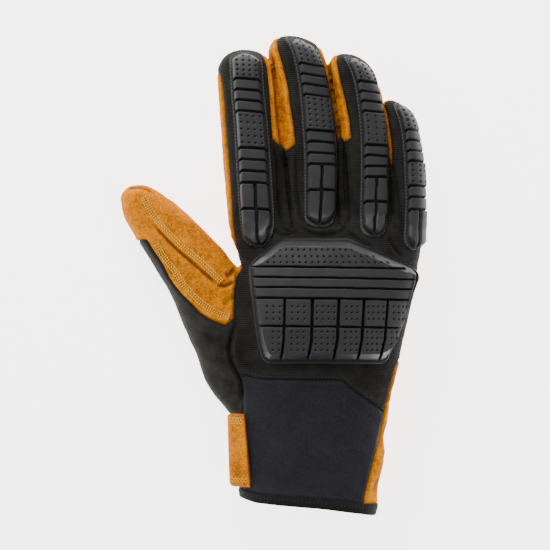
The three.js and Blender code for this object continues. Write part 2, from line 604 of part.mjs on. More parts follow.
// Finger guard: a thin flange with pads and ribs across it, laid on the back of a finger
function fingerGuard(finger) {
  const { from, to, width, style } = finger.guard;
  const top = to * LENGTH;
  const length = (to - from) * LENGTH;
  const padWidth = FINGER_GUARD_WIDTH * width;
  const place = (u, v, height) => {
    const station = fingerStation(finger, top - v);
    const radius = (station.halfWidth + station.halfDepth) / 2;
    const angle = Math.PI / 2 - station.roll - u / radius;
    const lift = station.dome;
    const point = station.centre.clone();
    point.addScaledVector(station.side, (station.halfWidth * lift + height) * rounded(Math.cos(angle), FINGER_FORM.power));
    point.z += (station.halfDepth * lift + height) * rounded(Math.sin(angle), FINGER_FORM.power);
    return point;
  };
  const halfFlange = padWidth / 2 + FLANGE_MARGIN;
  const flangeCorners = [[-halfFlange * 0.9, 0], [halfFlange * 0.9, 0],
    [halfFlange * 0.8, length], [-halfFlange * 0.8, length]];
  let guard = mouldedBlock(place, flangeCorners, -ROOT_DEPTH, FLANGE_THICK, FLANGE_THICK / 4,
    FLANGE_GRID.across, FLANGE_GRID.along);
  for (const row of GUARD_STYLES[style]) {
    const start = row.from * length;
    const end = row.to * length;
    const halfPad = (padWidth * row.narrow) / 2;
    for (let i = 0; i < row.split; i += 1) {
      const gap = row.split > 1 ? GROOVE / 2 : 0;
      const left = -halfPad + (2 * halfPad * i) / row.split + (i > 0 ? gap : 0);
      const right = -halfPad + (2 * halfPad * (i + 1)) / row.split - (i + 1 < row.split ? gap : 0);
      const corners = [[left, start], [right, start], [right, end], [left, end]];
      const across = row.split > 1 ? 1 : 2;
      const padTop = FINGER_PAD_HEIGHT * row.height;
      const block = mouldedBlock(place, corners, -ROOT_DEPTH / 2, padTop, FINGER_BEVEL, across, 1);
      guard = guard.add(block);
    }
  }
  return largest(guard.subtract(clear).subtract(knuckleZone));
}

// Welt: the rounded fold of knit in the valley between two fingers
function welt({ top, bottom }, left, right) {
  const rings = [0, 0.06, 0.2, 0.5, 0.8, 0.94, 1].map((share) => {
    const x = THREE.MathUtils.lerp(top[0], bottom[0], share) * PALM_WIDTH;
    const y = THREE.MathUtils.lerp(top[1], bottom[1], share) * LENGTH;
    const fullness = Math.max(0.3, Math.sin(Math.PI * share) ** 0.35);
    const rise = (fingerStation(left, y).centre.z + fingerStation(right, y).centre.z) / 2;
    const centre = new THREE.Vector3(x, y, rise + FINGER_DEPTH * 0.2);
    const deep = (FINGER_DEPTH * 0.2 + WELT_RISE) * fullness;
    return sectionRing(centre, ACROSS, (WELT_WIDTH / 2) * fullness, deep, WELT_FORM, 0);
  });
  return largest(loft(rings).subtract(clear));
}

// Pull tab: a strap along the thumb side of the wrist, sewn on at its ends and standing off between them
function pullTab() {
  const steps = 10;
  const out = new THREE.Vector3(-Math.sin(TAB_TILT), 0, Math.cos(TAB_TILT));
  const along = new THREE.Vector3(Math.cos(TAB_TILT), 0, Math.sin(TAB_TILT));
  const rings = [];
  for (let i = 0; i <= steps; i += 1) {
    const share = i / steps;
    const x = THREE.MathUtils.lerp(TAB_ENDS.top[0], TAB_ENDS.bottom[0], share) * PALM_WIDTH;
    const y = THREE.MathUtils.lerp(TAB_ENDS.top[1], TAB_ENDS.bottom[1], share) * LENGTH;
    const seat = new THREE.Vector3(x, y, handTop(x, y) + CLEARANCE);
    seat.addScaledVector(out, TAB_BOW * Math.sin(Math.PI * share) ** 1.5);
    rings.push([[-1, 0], [-0.5, 0], [0, 0], [0, 1], [-0.5, 1], [-1, 1]].map(([u, h]) => (
      seat.clone().addScaledVector(along, u * TAB_WIDTH).addScaledVector(out, h * TAB_THICK))));
  }
  return largest(loft(rings).subtract(clear));
}

// Materials
const materials = {
  knit: { color: 0x24221f, roughness: 0.92, metalness: 0 },
  suede: { color: 0xd08a26, roughness: 0.85, metalness: 0 },
  rubber: { color: 0x3a393d, roughness: 0.5, metalness: 0 },
  neoprene: { color: 0x26262c, roughness: 0.8, metalness: 0 },
  binding: { color: 0x191816, roughness: 0.9, metalness: 0 },
};

const group = new THREE.Group();

function addPiece(name, solid, material) {
  const mesh = solid.getMesh();
  const geometry = new THREE.BufferGeometry();
  geometry.setAttribute("position", new THREE.BufferAttribute(new Float32Array(mesh.vertProperties), 3));
  geometry.setIndex(new THREE.BufferAttribute(new Uint32Array(mesh.triVerts), 1));
  geometry.computeVertexNormals();
  const piece = new THREE.Mesh(geometry, new THREE.MeshStandardMaterial(materials[material]));
  piece.name = name;
  group.add(piece);
}

addPiece("back_panel", backPanel, "knit");
addPiece("palm_panel", palmPanel, "suede");
addPiece("thumb_leather", thumbLeather, "suede");
addPiece("thumb_gusset", gusset, "knit");
addPiece("cuff", cuff, "neoprene");
addPiece("hem_binding", hemBinding(), "binding");
addPiece("pull_tab", pullTab(), "suede");
addPiece("knuckle_guard", knuckleGuard(), "rubber");
for (const [name, finger] of Object.entries(FINGERS)) {
  addPiece(`finger_leather_${name}`, largest(leather.intersect(fingerZones[name])), "suede");
  addPiece(`finger_back_${name}`, largest(knit.intersect(fingerZones[name])), "knit");
  addPiece(`finger_guard_${name}`, fingerGuard(finger), "rubber");
}
addPiece("welt_index_middle", welt(WELTS.index_middle, FINGERS.index, FINGERS.middle), "knit");
addPiece("welt_middle_ring", welt(WELTS.middle_ring, FINGERS.middle, FINGERS.ring), "knit");

export default group;
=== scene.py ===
"""An impact glove lying palm down: knit back, leather palm, neoprene wrist and moulded rubber guards."""
import math

import bpy
import numpy as np
from bpy.props import FloatProperty, FloatVectorProperty, PointerProperty
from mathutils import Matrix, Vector
from mathutils.bvhtree import BVHTree
from mathutils.kdtree import KDTree


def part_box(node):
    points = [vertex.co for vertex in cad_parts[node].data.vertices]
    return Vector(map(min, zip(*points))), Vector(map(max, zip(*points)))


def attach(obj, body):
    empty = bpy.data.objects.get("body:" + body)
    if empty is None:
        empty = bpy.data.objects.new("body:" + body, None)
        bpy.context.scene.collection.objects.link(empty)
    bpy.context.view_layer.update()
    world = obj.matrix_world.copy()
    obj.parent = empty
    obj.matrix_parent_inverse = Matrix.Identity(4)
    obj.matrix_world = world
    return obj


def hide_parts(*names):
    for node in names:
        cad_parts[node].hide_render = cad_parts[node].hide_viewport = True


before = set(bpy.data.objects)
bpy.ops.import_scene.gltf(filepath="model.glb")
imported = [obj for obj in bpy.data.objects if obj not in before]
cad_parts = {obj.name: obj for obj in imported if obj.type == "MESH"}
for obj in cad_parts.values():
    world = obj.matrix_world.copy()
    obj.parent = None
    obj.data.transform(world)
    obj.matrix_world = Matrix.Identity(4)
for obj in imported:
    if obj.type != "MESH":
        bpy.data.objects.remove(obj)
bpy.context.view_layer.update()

bl_info = {
    "name": "Impact glove",
    "version": (1, 0, 0),
    "blender": (4, 5, 0),
    "location": "3D View > Sidebar > Glove",
    "description": "Builds the fabric, leather and rubber of an impact glove",
    "category": "Add Mesh",
}

MM = 0.001

# Driving sizes, from the frame
THUMB_REACH = 1.092  # from the origin to the thumb's side, as a share of the palm's width
PALM_WIDTH = -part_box("thumb_leather")[0].x / THUMB_REACH
PALM_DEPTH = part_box("back_panel")[1].z
REAL_PALM = 98  # the real palm's width and a photo pixel at that width, in millimetres
REAL_PIXEL = 0.54
PIXEL = PALM_WIDTH * REAL_PIXEL / REAL_PALM
PHOTO_SIDE = 550
CENTRE = (320, 300)  # the photo pixel above the origin: column, row
WALL = 1.6 * MM

# Forms of the sections: the powers of their outlines, and how far one that rests reaches into the floor
HAND_POWER = 2.5
FINGER_POWER = 2.3
FLATTENED = 1.07
# Grid round the soft surface: two corners in photo pixels, metres below the floor, share of the depth above
SURFACE_CORNERS = ((112, 527), (436, 26))
SURFACE_BELOW = 3 * MM
SURFACE_ABOVE = 1.12
# Widths of the blends: fingers with the hand, thumb with the hand, everything with the floor
FINGER_BLEND = 5 * MM
THUMB_BLEND = 2.2 * MM
FLOOR_BLEND = 1.2 * MM

# Tables in photo pixels from above; depths are shares of PALM_DEPTH.
# Hand and cuff: row, left edge, right edge, depth
HAND_ROWS = [
    (530, 243, 370, 1.08), (505, 241, 377, 1.06), (492, 240, 377.8, 1.03), (478, 239.5, 380.5, 1.0),
    (464, 238.5, 383.5, 0.98), (450, 238, 384.8, 0.96), (438, 237.5, 384.5, 0.94), (424, 237, 387.5, 0.93),
    (406, 236, 389.8, 0.92), (392, 235.5, 392, 0.93), (379, 235.5, 395.8, 0.94), (348, 235, 402, 0.97),
    (314, 235.5, 409.5, 1.0), (285, 237, 416, 0.98), (262, 239.5, 418, 0.93), (243, 243, 417, 0.85),
    (226, 250, 410, 0.74), (210, 262, 396, 0.6),
]
# Fingers: row, middle, half width, depth, roll of the back towards the little finger in degrees
FINGERS = {
    "index": [
        (262, 263, 25, 0.71, 0), (225, 257.7, 28.8, 0.69, 0), (200, 255.9, 29.9, 0.67, 0),
        (160, 253.4, 30.7, 0.65, 0), (120, 250.6, 30.6, 0.62, 0), (98, 248.4, 30.1, 0.6, 0),
        (80, 246.6, 29.2, 0.58, 1), (48, 244.4, 26.5, 0.53, 2),
    ],
    "middle": [
        (258, 314, 25, 0.73, 12), (225, 313.5, 26.5, 0.71, 14), (190, 313, 27.6, 0.68, 16),
        (150, 312.2, 29, 0.65, 17), (120, 309.7, 29, 0.63, 18), (100, 306.8, 28.6, 0.61, 20),
        (80, 303, 27.8, 0.59, 22), (60, 298.4, 27.6, 0.57, 24), (34, 290, 25.5, 0.53, 24),
    ],
    "ring": [
        (265, 366, 21, 0.7, 16), (230, 366.3, 23.2, 0.68, 18), (190, 366.4, 23.9, 0.65, 20),
        (155, 366, 24.7, 0.62, 22), (125, 363.2, 24.5, 0.6, 25), (98, 358.8, 23.7, 0.58, 28),
        (80, 354.7, 22.8, 0.56, 30), (52, 345, 20.5, 0.52, 30),
    ],
    "little": [
        (268, 402, 15, 0.62, 30), (240, 405, 17, 0.61, 32), (210, 406, 17.5, 0.59, 34),
        (180, 405.3, 17.3, 0.57, 35), (150, 402.8, 16.9, 0.55, 38), (125, 398.6, 15.9, 0.52, 42),
        (99, 391.5, 14.5, 0.46, 44),
    ],
}
# Pixels over which ends are rounded: a fingertip, a finger's root inside the hand and the hand's own end
TIP_ROUND = 25
ROOT_ROUND = 20
HAND_ROUND = 18
LEAN_ROWS = 4  # rows before and after a place that give a finger's lean
# Thumb outlines from root to tip, and its depth against the same rows
THUMB_LOW = [
    (238, 426), (226, 410), (216, 398), (204.3, 380), (196.8, 356), (188.5, 338), (179.8, 318), (171, 296),
    (160, 277), (149.5, 260), (139, 243.5), (131.6, 232), (125, 221), (119.5, 204),
]
THUMB_HIGH = [(330, 360), (290, 322), (262, 296), (240, 272), (219, 245.5), (202, 228.5), (182, 209),
              (165, 196), (151, 187), (138, 181)]
THUMB_AXIS = ((262, 362), (125.2, 187.6))
THUMB_DEPTHS = [(0, 0.78), (0.25, 0.82), (0.5, 0.8), (0.75, 0.7), (0.9, 0.62), (1, 0.58)]
THUMB_ROUND = 17
THUMB_ROOT = (21, 11)  # pixels before the axis begins where the root starts to round, and over how many

# Seams from above, in photo pixels. A panel keeps what lies inside its outline and above its level.
PANEL_LEVEL = 9 * MM
PANEL_LEVELS = {"gusset": PANEL_LEVEL / 2, "cuff": PANEL_LEVEL, "back": PANEL_LEVEL}
SEAMS = {
    "thumb": [
        (84, 256), (128, 248), (137, 242), (142, 239.8), (147, 240.6), (150, 246), (153.3, 251.5),
        (159, 260), (164, 268), (168, 277), (174, 285), (180, 293), (187, 300), (193, 306), (200, 313),
        (208, 318), (216, 322), (225, 325), (230, 322), (234, 318), (234, 305), (235, 290), (237, 278),
        (240, 268), (236, 250), (224, 220), (190, 170), (84, 150),
    ],
    "gusset": [
        (84, 240), (110, 200), (150, 215), (200, 270), (230, 308), (235, 322), (231, 340), (230, 352),
        (233, 362), (237, 372), (241, 379), (243.5, 392), (243, 415), (200, 416), (150, 340),
    ],
    "cuff": [
        (200, 380), (240, 374.5), (249, 376.5), (260, 379), (300, 379.8), (340, 380), (345, 383),
        (350, 388), (360, 395.5), (370, 402), (380, 409), (384, 413), (382, 425), (380, 435), (377, 447),
        (373, 460), (370, 470), (367, 482), (364, 495), (362, 530), (180, 530), (190, 400),
    ],
    "back": [
        (241, 268), (239, 260), (236.5, 250), (234, 240), (232, 220), (231, 200), (229.5, 180), (228, 160),
        (227, 150), (225, 120), (223.5, 100), (221.5, 82), (218.5, 73), (212, 68), (212, 40), (258, 40),
        (264, 56), (267.5, 68), (269.5, 90), (271.5, 120), (273, 139), (281.5, 146.5), (283, 153),
        (287, 150.5), (294.9, 144.2), (294.5, 140), (293.5, 130), (292, 120), (290.5, 110), (289, 100),
        (288, 90), (286, 80), (283.5, 70), (281, 60), (278, 50), (276.5, 40), (281, 28), (312, 28),
        (321, 53), (324, 61), (327, 72), (329.5, 82), (331.5, 92), (333.5, 103), (335.5, 116), (337.5, 130),
        (340, 143.5), (344, 142.5), (350.8, 138), (350, 130), (349, 120), (347, 110), (345, 100),
        (342.5, 90), (340, 80), (338, 70), (336.5, 61), (339, 47), (360, 44), (376, 58), (380, 88),
        (383.3, 108), (385.2, 125), (387, 140), (389.2, 157), (391.5, 168), (392, 150), (390.3, 135),
        (387.8, 118), (385, 104), (388, 92), (412, 92), (440, 150), (442, 262), (424, 300), (414, 330),
        (404, 352), (395, 369), (391.5, 380), (389, 390), (387, 400), (384, 412), (375, 425), (230, 425),
        (205, 380), (205, 290), (225, 272),
    ],
}
# Seams: share of the seam depth by which a panel is pulled in, and how far it swells beside the seam
LEATHER_SEAM = (1, 0.45 * MM)
PALM_SEAM = (1, 0.35 * MM)
CLOTH_SEAM = (0.6, 0.15 * MM)
# Hem, left to right: where the panels end and where the binding ends
HEM_TOP = [(180, 484), (239, 488.5), (256, 493), (280, 495), (320, 498), (362, 503), (420, 508)]
HEM_DROP = 8.5  # pixels of binding below that line
HEM_WIDER = ((240, 330, 360, 378), (1.04, 1.1, 1.2, 1.42))  # share of it, column by column
# Section of the binding in pixels: down from its upper edge, out from the hand
HEM_SECTION = [
    (0.0, 0.9), (0.15, 1.15), (1.0, 1.35), (HEM_DROP * 0.5, 1.25), (HEM_DROP - 1.4, 1.3),
    (HEM_DROP - 0.4, 0.9), (HEM_DROP, -0.6), (HEM_DROP - 0.4, -2.6), (HEM_DROP - 2, -3.4), (1.0, -3.4),
    (0.0, -2.6),
]
HEM_AROUND = 220  # points round the binding
HEM_MIDDLE = -6 * MM
HEM_POWER = 0.8
HEM_OVERLAP = 0.6  # pixels of binding above the hem's line
HEM_STITCHES = (2.2, 3.6)  # pixels below it

# Finger guards, in pixels: first and last row, pad width at the tip, middle and root, how far the left and
# right end corners draw back, the pattern along it, and its holes across and in the two perforated fields
GUARDS = {
    "index": {
        "span": (51.5, 248), "pads": (23, 25, 28), "foot": (7, 22), "style": "long", "holes": (4, 5, 5),
    },
    "middle": {
        "span": (35.5, 228), "pads": (23, 26, 26), "foot": (7, 8), "style": "long", "holes": (4, 5, 6),
    },
    "ring": {
        "span": (54, 238), "pads": (20, 23, 24), "foot": (9, 9), "style": "long", "holes": (3, 5, 5),
    },
    "little": {
        "span": (100.5, 251), "pads": (17, 20, 21), "foot": (13, 5), "style": "short", "holes": (3, 5, 4),
    },
}
PAD_HEIGHT = 4.2 * MM
RIB_HEIGHT = 3.7 * MM
FLANGE_HEIGHT = 0.9 * MM
FLANGE_WIDE = 3.3  # pixels of flange beyond the pads
CHAMFER = 1.7 * MM
GROOVE_HALF = 0.74 * MM
# Pixels along a finger guard: the flange's rounded tip and its length past the foot, how far the pads draw
# back at the tip's corners, and over how many they rise to their height
FLANGE_TIP = 9
FLANGE_FOOT = 5
TIP_CORNERS = 8.5
TIP_RISE = 11
# How far a finger guard's base may be moved onto the folded surface, by share of its length
GUARD_TRUST = ((0.5, 0.64, 0.75, 1), (0, 2, 12, 12))  # millimetres
STITCH_INSET = 3  # steps of the grid from a flange's edge to its stitches
# Patterns in shares of the guard's length: start, end, kind
PATTERNS = {
    "long": [
        (0.01, 0.143, "holes"), (0.143, 0.1985, "rib"), (0.1985, 0.2525, "rib"), (0.2525, 0.308, "rib"),
        (0.308, 0.494, "holes"), (0.494, 0.5525, "rib"), (0.5525, 0.6115, "rib"), (0.6115, 0.67, "rib"),
        (0.67, 0.804, "split"), (0.804, 0.98, "split"),
    ],
    "short": [
        (0.01, 0.19, "holes"), (0.19, 0.26, "rib"), (0.26, 0.328, "rib"), (0.328, 0.4, "rib"),
        (0.4, 0.566, "holes"), (0.566, 0.64, "rib"), (0.64, 0.725, "rib"), (0.725, 0.98, "split"),
    ],
}

# Knuckle guard edges: row, left, right
KNUCKLE_EDGES = [
    (237.3, 285.5, 346), (239.6, 278.5, 353.5), (244.6, 271, 365), (252.6, 261, 382.5), (258.5, 254, 395.5),
    (264.5, 249, 409.5), (271, 247.3, 418.5), (276, 247.2, 420.5), (284, 248, 418.5), (292, 249, 415.5),
    (305, 251, 411), (325, 253.5, 404), (343, 256.5, 396), (354, 259.5, 391), (360.5, 262.5, 387.5),
    (364.5, 268, 382),
]
KNUCKLE_BODY = [
    (283, 239.5), (348, 240.5), (375, 251.5), (400, 262.5), (413, 268.5), (417, 273), (416.5, 282),
    (413.5, 292), (410, 303), (405, 317), (400, 330), (395, 343), (389.5, 354), (385.5, 359), (380, 360.5),
    (269, 360.5), (264, 357.5), (260.5, 346), (257, 325), (255, 310), (253, 290), (251.5, 270),
    (251, 264.5), (262, 255), (275, 244),
]
KNUCKLE_GROOVES = [
    ([(248, 266.2), (300, 266.7), (404, 268.3)], 1.0), ([(250, 276.7), (335, 277.6), (421, 279.4)], 1.0),
    ([(250, 286.7), (335, 287.6), (421, 289.2)], 1.0), ([(252, 297.6), (335, 298.3), (416, 299.8)], 1.2),
    ([(256, 325.8), (330, 326.4), (410, 327.8)], 1.1),
    ([(284.5, 299), (283.5, 340), (280.5, 361)], 1.3), ([(312, 299), (311, 340), (307, 361)], 1.5),
    ([(338.5, 299), (336.8, 340), (332.5, 361)], 1.5), ([(363.5, 299), (361, 340), (356.5, 361)], 1.4),
    ([(387, 299), (383.5, 340), (378.5, 361)], 1.2),
]
KNUCKLE_HOLES = [
    ((306.3, 312.5, 318.8), ((267, 279.7, 3), (291.8, 303.7, 3), (316.3, 333.6, 4), (345.7, 356.6, 3),
                             (367.5, 382.4, 4), (392.4, 405.2, 4))),
    ((331.6, 337.7, 343.9, 350), ((272.7, 278.7, 2), (291, 303, 3), (315, 333, 4), (344.5, 355.4, 3),
                                  (366.3, 380.3, 4), (389.6, 394.4, 2))),
    ((249.6,), ((280, 351.5, 13),)), ((256.3,), ((274, 373, 17),)), ((262.3,), ((268, 387, 20),)),
]
KNUCKLE_HEIGHT = 6.4 * MM
KNUCKLE_CHAMFER = 3.6 * MM
# By photo row or column: how much of the chamfer the thumb side keeps, where the chamfer widens from that
# side on, and the shade over the perforated top and the bars
KNUCKLE_KEPT = ((262, 268, 340, 356), (1, 0.4, 0.4, 0.8))
KNUCKLE_WIDEN = ((250, 275), (0, 1))
KNUCKLE_DUSK = ((265, 267, 298, 302), (0.5, 0.2, 0.2, 0))
KNUCKLE_STEEP = (270, 353)  # rows between which the little finger's side is steep
KNUCKLE_HIGHLIGHT_ROWS = (266, 352)  # rows above and below which the bevels get a painted highlight
KNUCKLE_FALL = 10 * MM  # how far the guard's edge may lie below its crown
KNUCKLE_NEARER = 0.984  # its places drawn in, as it lies nearer to the camera than the table
HOLE_RADIUS = 0.95  # pixels

# Folds of the soft parts: line, depth in millimetres (above nothing for a ridge), half width in pixels
FOLDS = [
    # the thumb: its bands, its seam and small creases
    ([(150, 221), (160, 232.5), (170, 243), (180, 252.5), (190, 261), (200, 269.5), (210, 278),
      (218, 285.5)], -1.5, 1.5),
    ([(154, 219), (164, 230), (174, 240.5), (184, 249.5), (194, 258), (204, 266.5), (214, 275)], 0.7, 3.0),
    ([(218, 285.5), (226, 286), (235, 281.5)], -1.4, 1.5), ([(219, 290), (226, 291), (233, 287)], 0.6, 2.2),
    ([(150, 226), (165, 245), (185, 262), (205, 279), (218, 291)], 0.5, 4.0),
    ([(143, 197), (160, 224), (190, 253), (222, 282)], -0.35, 3.2),
    ([(153, 243), (165, 262), (180, 283), (200, 304), (230, 318)], -0.35, 3.2),
    ([(126, 189), (132, 186.8), (140, 186.6), (147, 188.6), (152, 191.5)], -1.1, 1.2),
    ([(128, 199), (133, 214), (140, 230)], 0.5, 6.0), ([(236, 268), (231, 274), (226, 276)], -1.3, 2.4),
    ([(236, 297), (229, 300), (223, 306)], -0.8, 3.0), ([(176, 262), (184, 268)], -0.3, 2.0),
    ([(192, 275), (199, 283)], -0.3, 2.0), ([(166, 214), (172, 222)], -0.25, 2.2),
    ([(186, 231), (194, 239)], -0.3, 2.2),
    # the gusset and the thumb side of the hand
    ([(233, 326), (229.5, 345), (229, 354), (231.5, 363), (236, 373), (240.5, 381), (241.5, 392),
      (240, 404)], -2.2, 2.0), ([(238, 330), (235, 347), (236, 358), (240, 368), (246, 375)], 1.1, 3.4),
    ([(205, 372), (222, 380), (236, 386)], -0.5, 3.0), ([(196, 352), (214, 364), (228, 372)], 0.6, 4.0),
    ([(205, 331), (218, 345), (228, 352)], -0.6, 4.0), ([(186, 312), (204, 330), (222, 336)], 0.5, 4.5),
    ([(221, 397), (230, 396), (239, 392)], -0.5, 2.0), ([(224, 404), (233, 402), (240, 399)], 0.4, 2.0),
    ([(252, 372), (275, 373.5), (330, 374)], 0.5, 4.0), ([(245, 361), (252, 369), (262, 373)], -0.5, 3.0),
    ([(246, 290), (243, 320), (245, 345)], 0.5, 4.5), ([(243, 262), (244, 280), (242, 300)], -0.4, 4.0),
    # the roots of the fingers, above the knuckle guard
    ([(247, 248), (262, 243.5), (274, 234)], -1.0, 1.8), ([(254, 240), (265, 237), (272, 230)], 0.6, 2.2),
    ([(273, 229), (280, 235), (287, 234.5), (300, 229)], -1.1, 1.6),
    ([(305, 229.5), (322, 231.5), (338, 229)], 0.8, 2.2),
    ([(300, 225.5), (310, 233), (322, 235.5), (335, 233.5), (347, 227)], -1.1, 1.8),
    ([(347, 232), (355, 238), (363, 243.5), (376, 248)], -1.0, 1.7),
    ([(352, 231), (362, 237), (372, 243)], 0.6, 2.2),
    ([(388, 237), (391, 243), (396, 251), (402, 257)], -1.2, 1.9), ([(404, 262), (412, 259)], -0.5, 2.5),
    ([(347, 240), (362, 244), (380, 251)], 0.6, 3.0),
    # the valleys between the fingers
    ([(284, 152), (287.5, 180), (289.5, 214), (293, 231)], -1.7, 1.6),
    ([(295, 150), (295.5, 185), (298, 205), (300, 219)], -1.3, 1.5),
    ([(291, 152), (292, 180), (294.5, 205), (297, 222)], 0.8, 1.7),
    ([(273.8, 146), (277.5, 165), (279, 195), (281, 225)], -1.5, 1.5),
    ([(267, 150), (270, 180), (272, 205), (274, 222)], 0.6, 2.2),
    ([(337, 146), (336.5, 170), (337, 200), (340, 226)], -1.4, 1.4),
    ([(345, 150), (347, 190), (349, 226)], -1.5, 1.6), ([(352, 152), (354, 180), (356, 205)], 0.6, 2.0),
    ([(333.5, 230), (340, 222), (344, 226)], -0.6, 1.6),
    ([(392, 160), (396, 185), (400, 215), (404, 240)], -0.9, 1.8),
    ([(398, 150), (402, 180), (405, 205)], 0.5, 2.0), ([(384, 165), (388, 195), (391, 222)], 0.5, 2.2),
    # the cuff and its edge on the little finger's side
    ([(352, 385), (366, 395), (383, 405)], 0.4, 3.0),
    ([(394, 372), (389, 398), (386, 410)], 0.5, 4.0), ([(391, 402), (387, 406), (383, 408)], -1.0, 2.4),
    ([(386, 422), (381, 438), (380, 452)], -0.7, 3.0), ([(384, 447), (380, 462), (376, 474)], 0.7, 3.0),
    ([(379, 478), (375, 486), (371, 492)], -0.8, 2.6), ([(376, 470), (371, 486), (368, 500)], 0.5, 2.6),
    ([(252, 420), (262, 440), (258, 470)], -0.35, 6.0), ([(300, 392), (310, 420), (300, 450)], 0.35, 9.0),
    ([(345, 420), (352, 445), (344, 480)], -0.35, 8.0), ([(275, 470), (310, 478), (345, 480)], 0.3, 8.0),
    # the sides of the fingers
    ([(271, 50), (274, 74), (277.5, 110), (280.5, 136), (283, 155)], -1.7, 1.3),
    ([(324, 50), (329, 64), (336, 109), (339.5, 130), (342, 150)], -1.7, 1.3),
    ([(221, 110), (225, 112), (229, 111)], -0.3, 1.8), ([(222, 150), (227, 151)], -0.3, 1.8),
    ([(223, 186), (229, 187)], -0.3, 1.8), ([(274, 100), (284, 101)], -0.35, 1.8),
    ([(278, 122), (290, 121)], -0.3, 1.8), ([(334, 98), (345, 97)], -0.35, 1.8),
    ([(338, 120), (349, 119)], -0.3, 1.8),
]

TAB_OUTLINE = {"rows": (413.5, 486), "left": (227, 229.5), "right": (243.5, 249.5)}
TAB_GRID = (200, 50)  # points along and across
TAB_THICK = 1.7 * MM
TAB_LIFT = 2.0 * MM  # above the cuff where it is sewn on
TAB_BOW = 3.0 * MM  # how far its middle bows up
TAB_CURL = 1.6 * MM  # how far its free edge curls down
TAB_SLOPE = math.tan(math.radians(38))
# Zigzags across the tab: from and to, as shares of its length, and the number of points
TAB_ZIGZAGS = (
    (0.05, 0.085, 12), (0.085, 0.12, 11), (0.12, 0.155, 12), (0.875, 0.91, 11), (0.91, 0.945, 12),
)
# Folds of knit between two fingers: middle line from the fingers' fork to the hand, half width in pixels;
# their rings and the points in a ring
WELT_STEPS = 60
WELT_SIDES = 16
WELTS = {
    "index_middle": [(280.5, 146), (280.5, 165), (282.5, 185), (285, 210), (287.5, 232), 4.5],
    "middle_ring": [(341, 138), (340.8, 165), (341, 190), (342, 207), (343.5, 228), 3.4],
}
# Stitches: the thumb's bands, the rows in each in pixels beside its line, and the seam above the cuff
THUMB_BANDS = [
    [(143, 197), (150, 210), (160, 224), (170, 235), (180, 245), (190, 253), (200, 261), (210, 271),
     (222, 282)],
    [(157, 244), (161.5, 253), (167.5, 261.5), (175, 270.5), (182.5, 282), (192, 293.5), (201.5, 302.5),
     (211, 309.5), (220.5, 314), (230, 317)],
]
THUMB_ROWS = (-2.3, 0, 2.3)
CUFF_STITCHES = [
    (243, 371.5), (262, 375.6), (300, 376.5), (340, 376.8), (348, 380.5), (358, 389), (370, 398.5),
    (383, 409),
]
# Thickness of the thread in each piece of stitches, or of a needle hole's bead of painted shade
THREAD_WIDE = {
    "thumb": 0.64 * MM, "holes": 0.62 * MM, "cuff": 0.4 * MM, "guards": 0.24 * MM, "hem": 0.34 * MM,
    "tab": 0.42 * MM,
}
# Pitches of the knit's ribs and loops and of the binding's weave, in metres
RIB_PITCH = 0.00115
LOOP_PITCH = 0.0008
WEAVE_PITCH = 0.0009
STITCH_LOWEST = 0.5 * MM  # no stitch lies lower than this above the floor

# Threads, and beads of painted shade in needle holes, whose colours stay as they are
DARK_THREAD = (0.03, 0.03, 0.033)
GREY_THREAD = (0.17, 0.17, 0.155)
HOLE_SHADE = (0.05, 0.014, 0.0)

# Lights: place, size in metres, power in watts
LIGHTS = {
    "Key": ((-0.35, 1.2, 0.85), 0.8, 24),
    "Side": ((-1.2, 0.2, 0.8), 0.8, 5),
    "Fill": ((0.75, -0.35, 1.05), 1.0, 4),
}
WORLD_LIGHT = 0.5
FLOOR_LIGHT = 3.8
FLOOR_HALF = 4.0
FLOOR_BELOW = 0.2 * MM
# Camera: its distance from a level inside the glove, that level as a share of the depth, and its sensor
CAMERA_AWAY = 1.6
CAMERA_LEVEL = 0.6
CAMERA_SENSOR = 36


class GloveSizes(bpy.types.PropertyGroup):
    """Sizes that a user of the glove would change."""

    cell: FloatProperty(name="Surface step", description="Step of the soft surface", default=1.05 * MM,
                        unit="LENGTH")
    seam_depth: FloatProperty(name="Seam depth", description="How far a seam pulls in", default=0.7 * MM,
                              unit="LENGTH")
    stitch_pitch: FloatProperty(name="Stitch pitch", description="From stitch to stitch", default=2.1 * MM,
                                unit="LENGTH")
    hole_depth: FloatProperty(name="Hole depth", description="Depth of the guards' holes", default=1.0 * MM,
                              unit="LENGTH")
    guard_step: FloatProperty(name="Guard step", description="Step of the moulded surfaces", default=0.3 * MM,
                              unit="LENGTH")


class GloveColours(bpy.types.PropertyGroup):
    """Colours of the glove's materials."""

    knit: FloatVectorProperty(name="Knit", description="Back of the hand", subtype="COLOR",
                              default=(0.0092, 0.0088, 0.0072))
    suede: FloatVectorProperty(name="Leather", description="Palm, finger sides and thumb", subtype="COLOR",
                               default=(0.63, 0.19, 0.0))
    neoprene: FloatVectorProperty(name="Neoprene", description="Back of the wrist", subtype="COLOR",
                                  default=(0.0098, 0.0096, 0.0138))
    rubber: FloatVectorProperty(name="Rubber", description="Moulded guards", subtype="COLOR",
                                default=(0.0135, 0.0132, 0.0148))
    thread: FloatVectorProperty(name="Thread", description="Stitches on the leather", subtype="COLOR",
                                default=(0.95, 0.5, 0.05))


def spot(column, row):
    """Place of a photo pixel on the table, in metres."""
    return (column - CENTRE[0]) * PIXEL, (CENTRE[1] - row) * PIXEL


def column_of(x):
    """Photo column of a place on the table."""
    return x / PIXEL + CENTRE[0]


def row_of(y):
    """Photo row of a place on the table."""
    return CENTRE[1] - y / PIXEL


def spots(line):
    """Places of a line of photo pixels on the table, in metres."""
    return np.array([spot(*corner) for corner in line])


def bell(value, width):
    """A smooth hump: 1 where the value is nothing, falling off over the width."""
    return np.exp(-((value / width) ** 2))


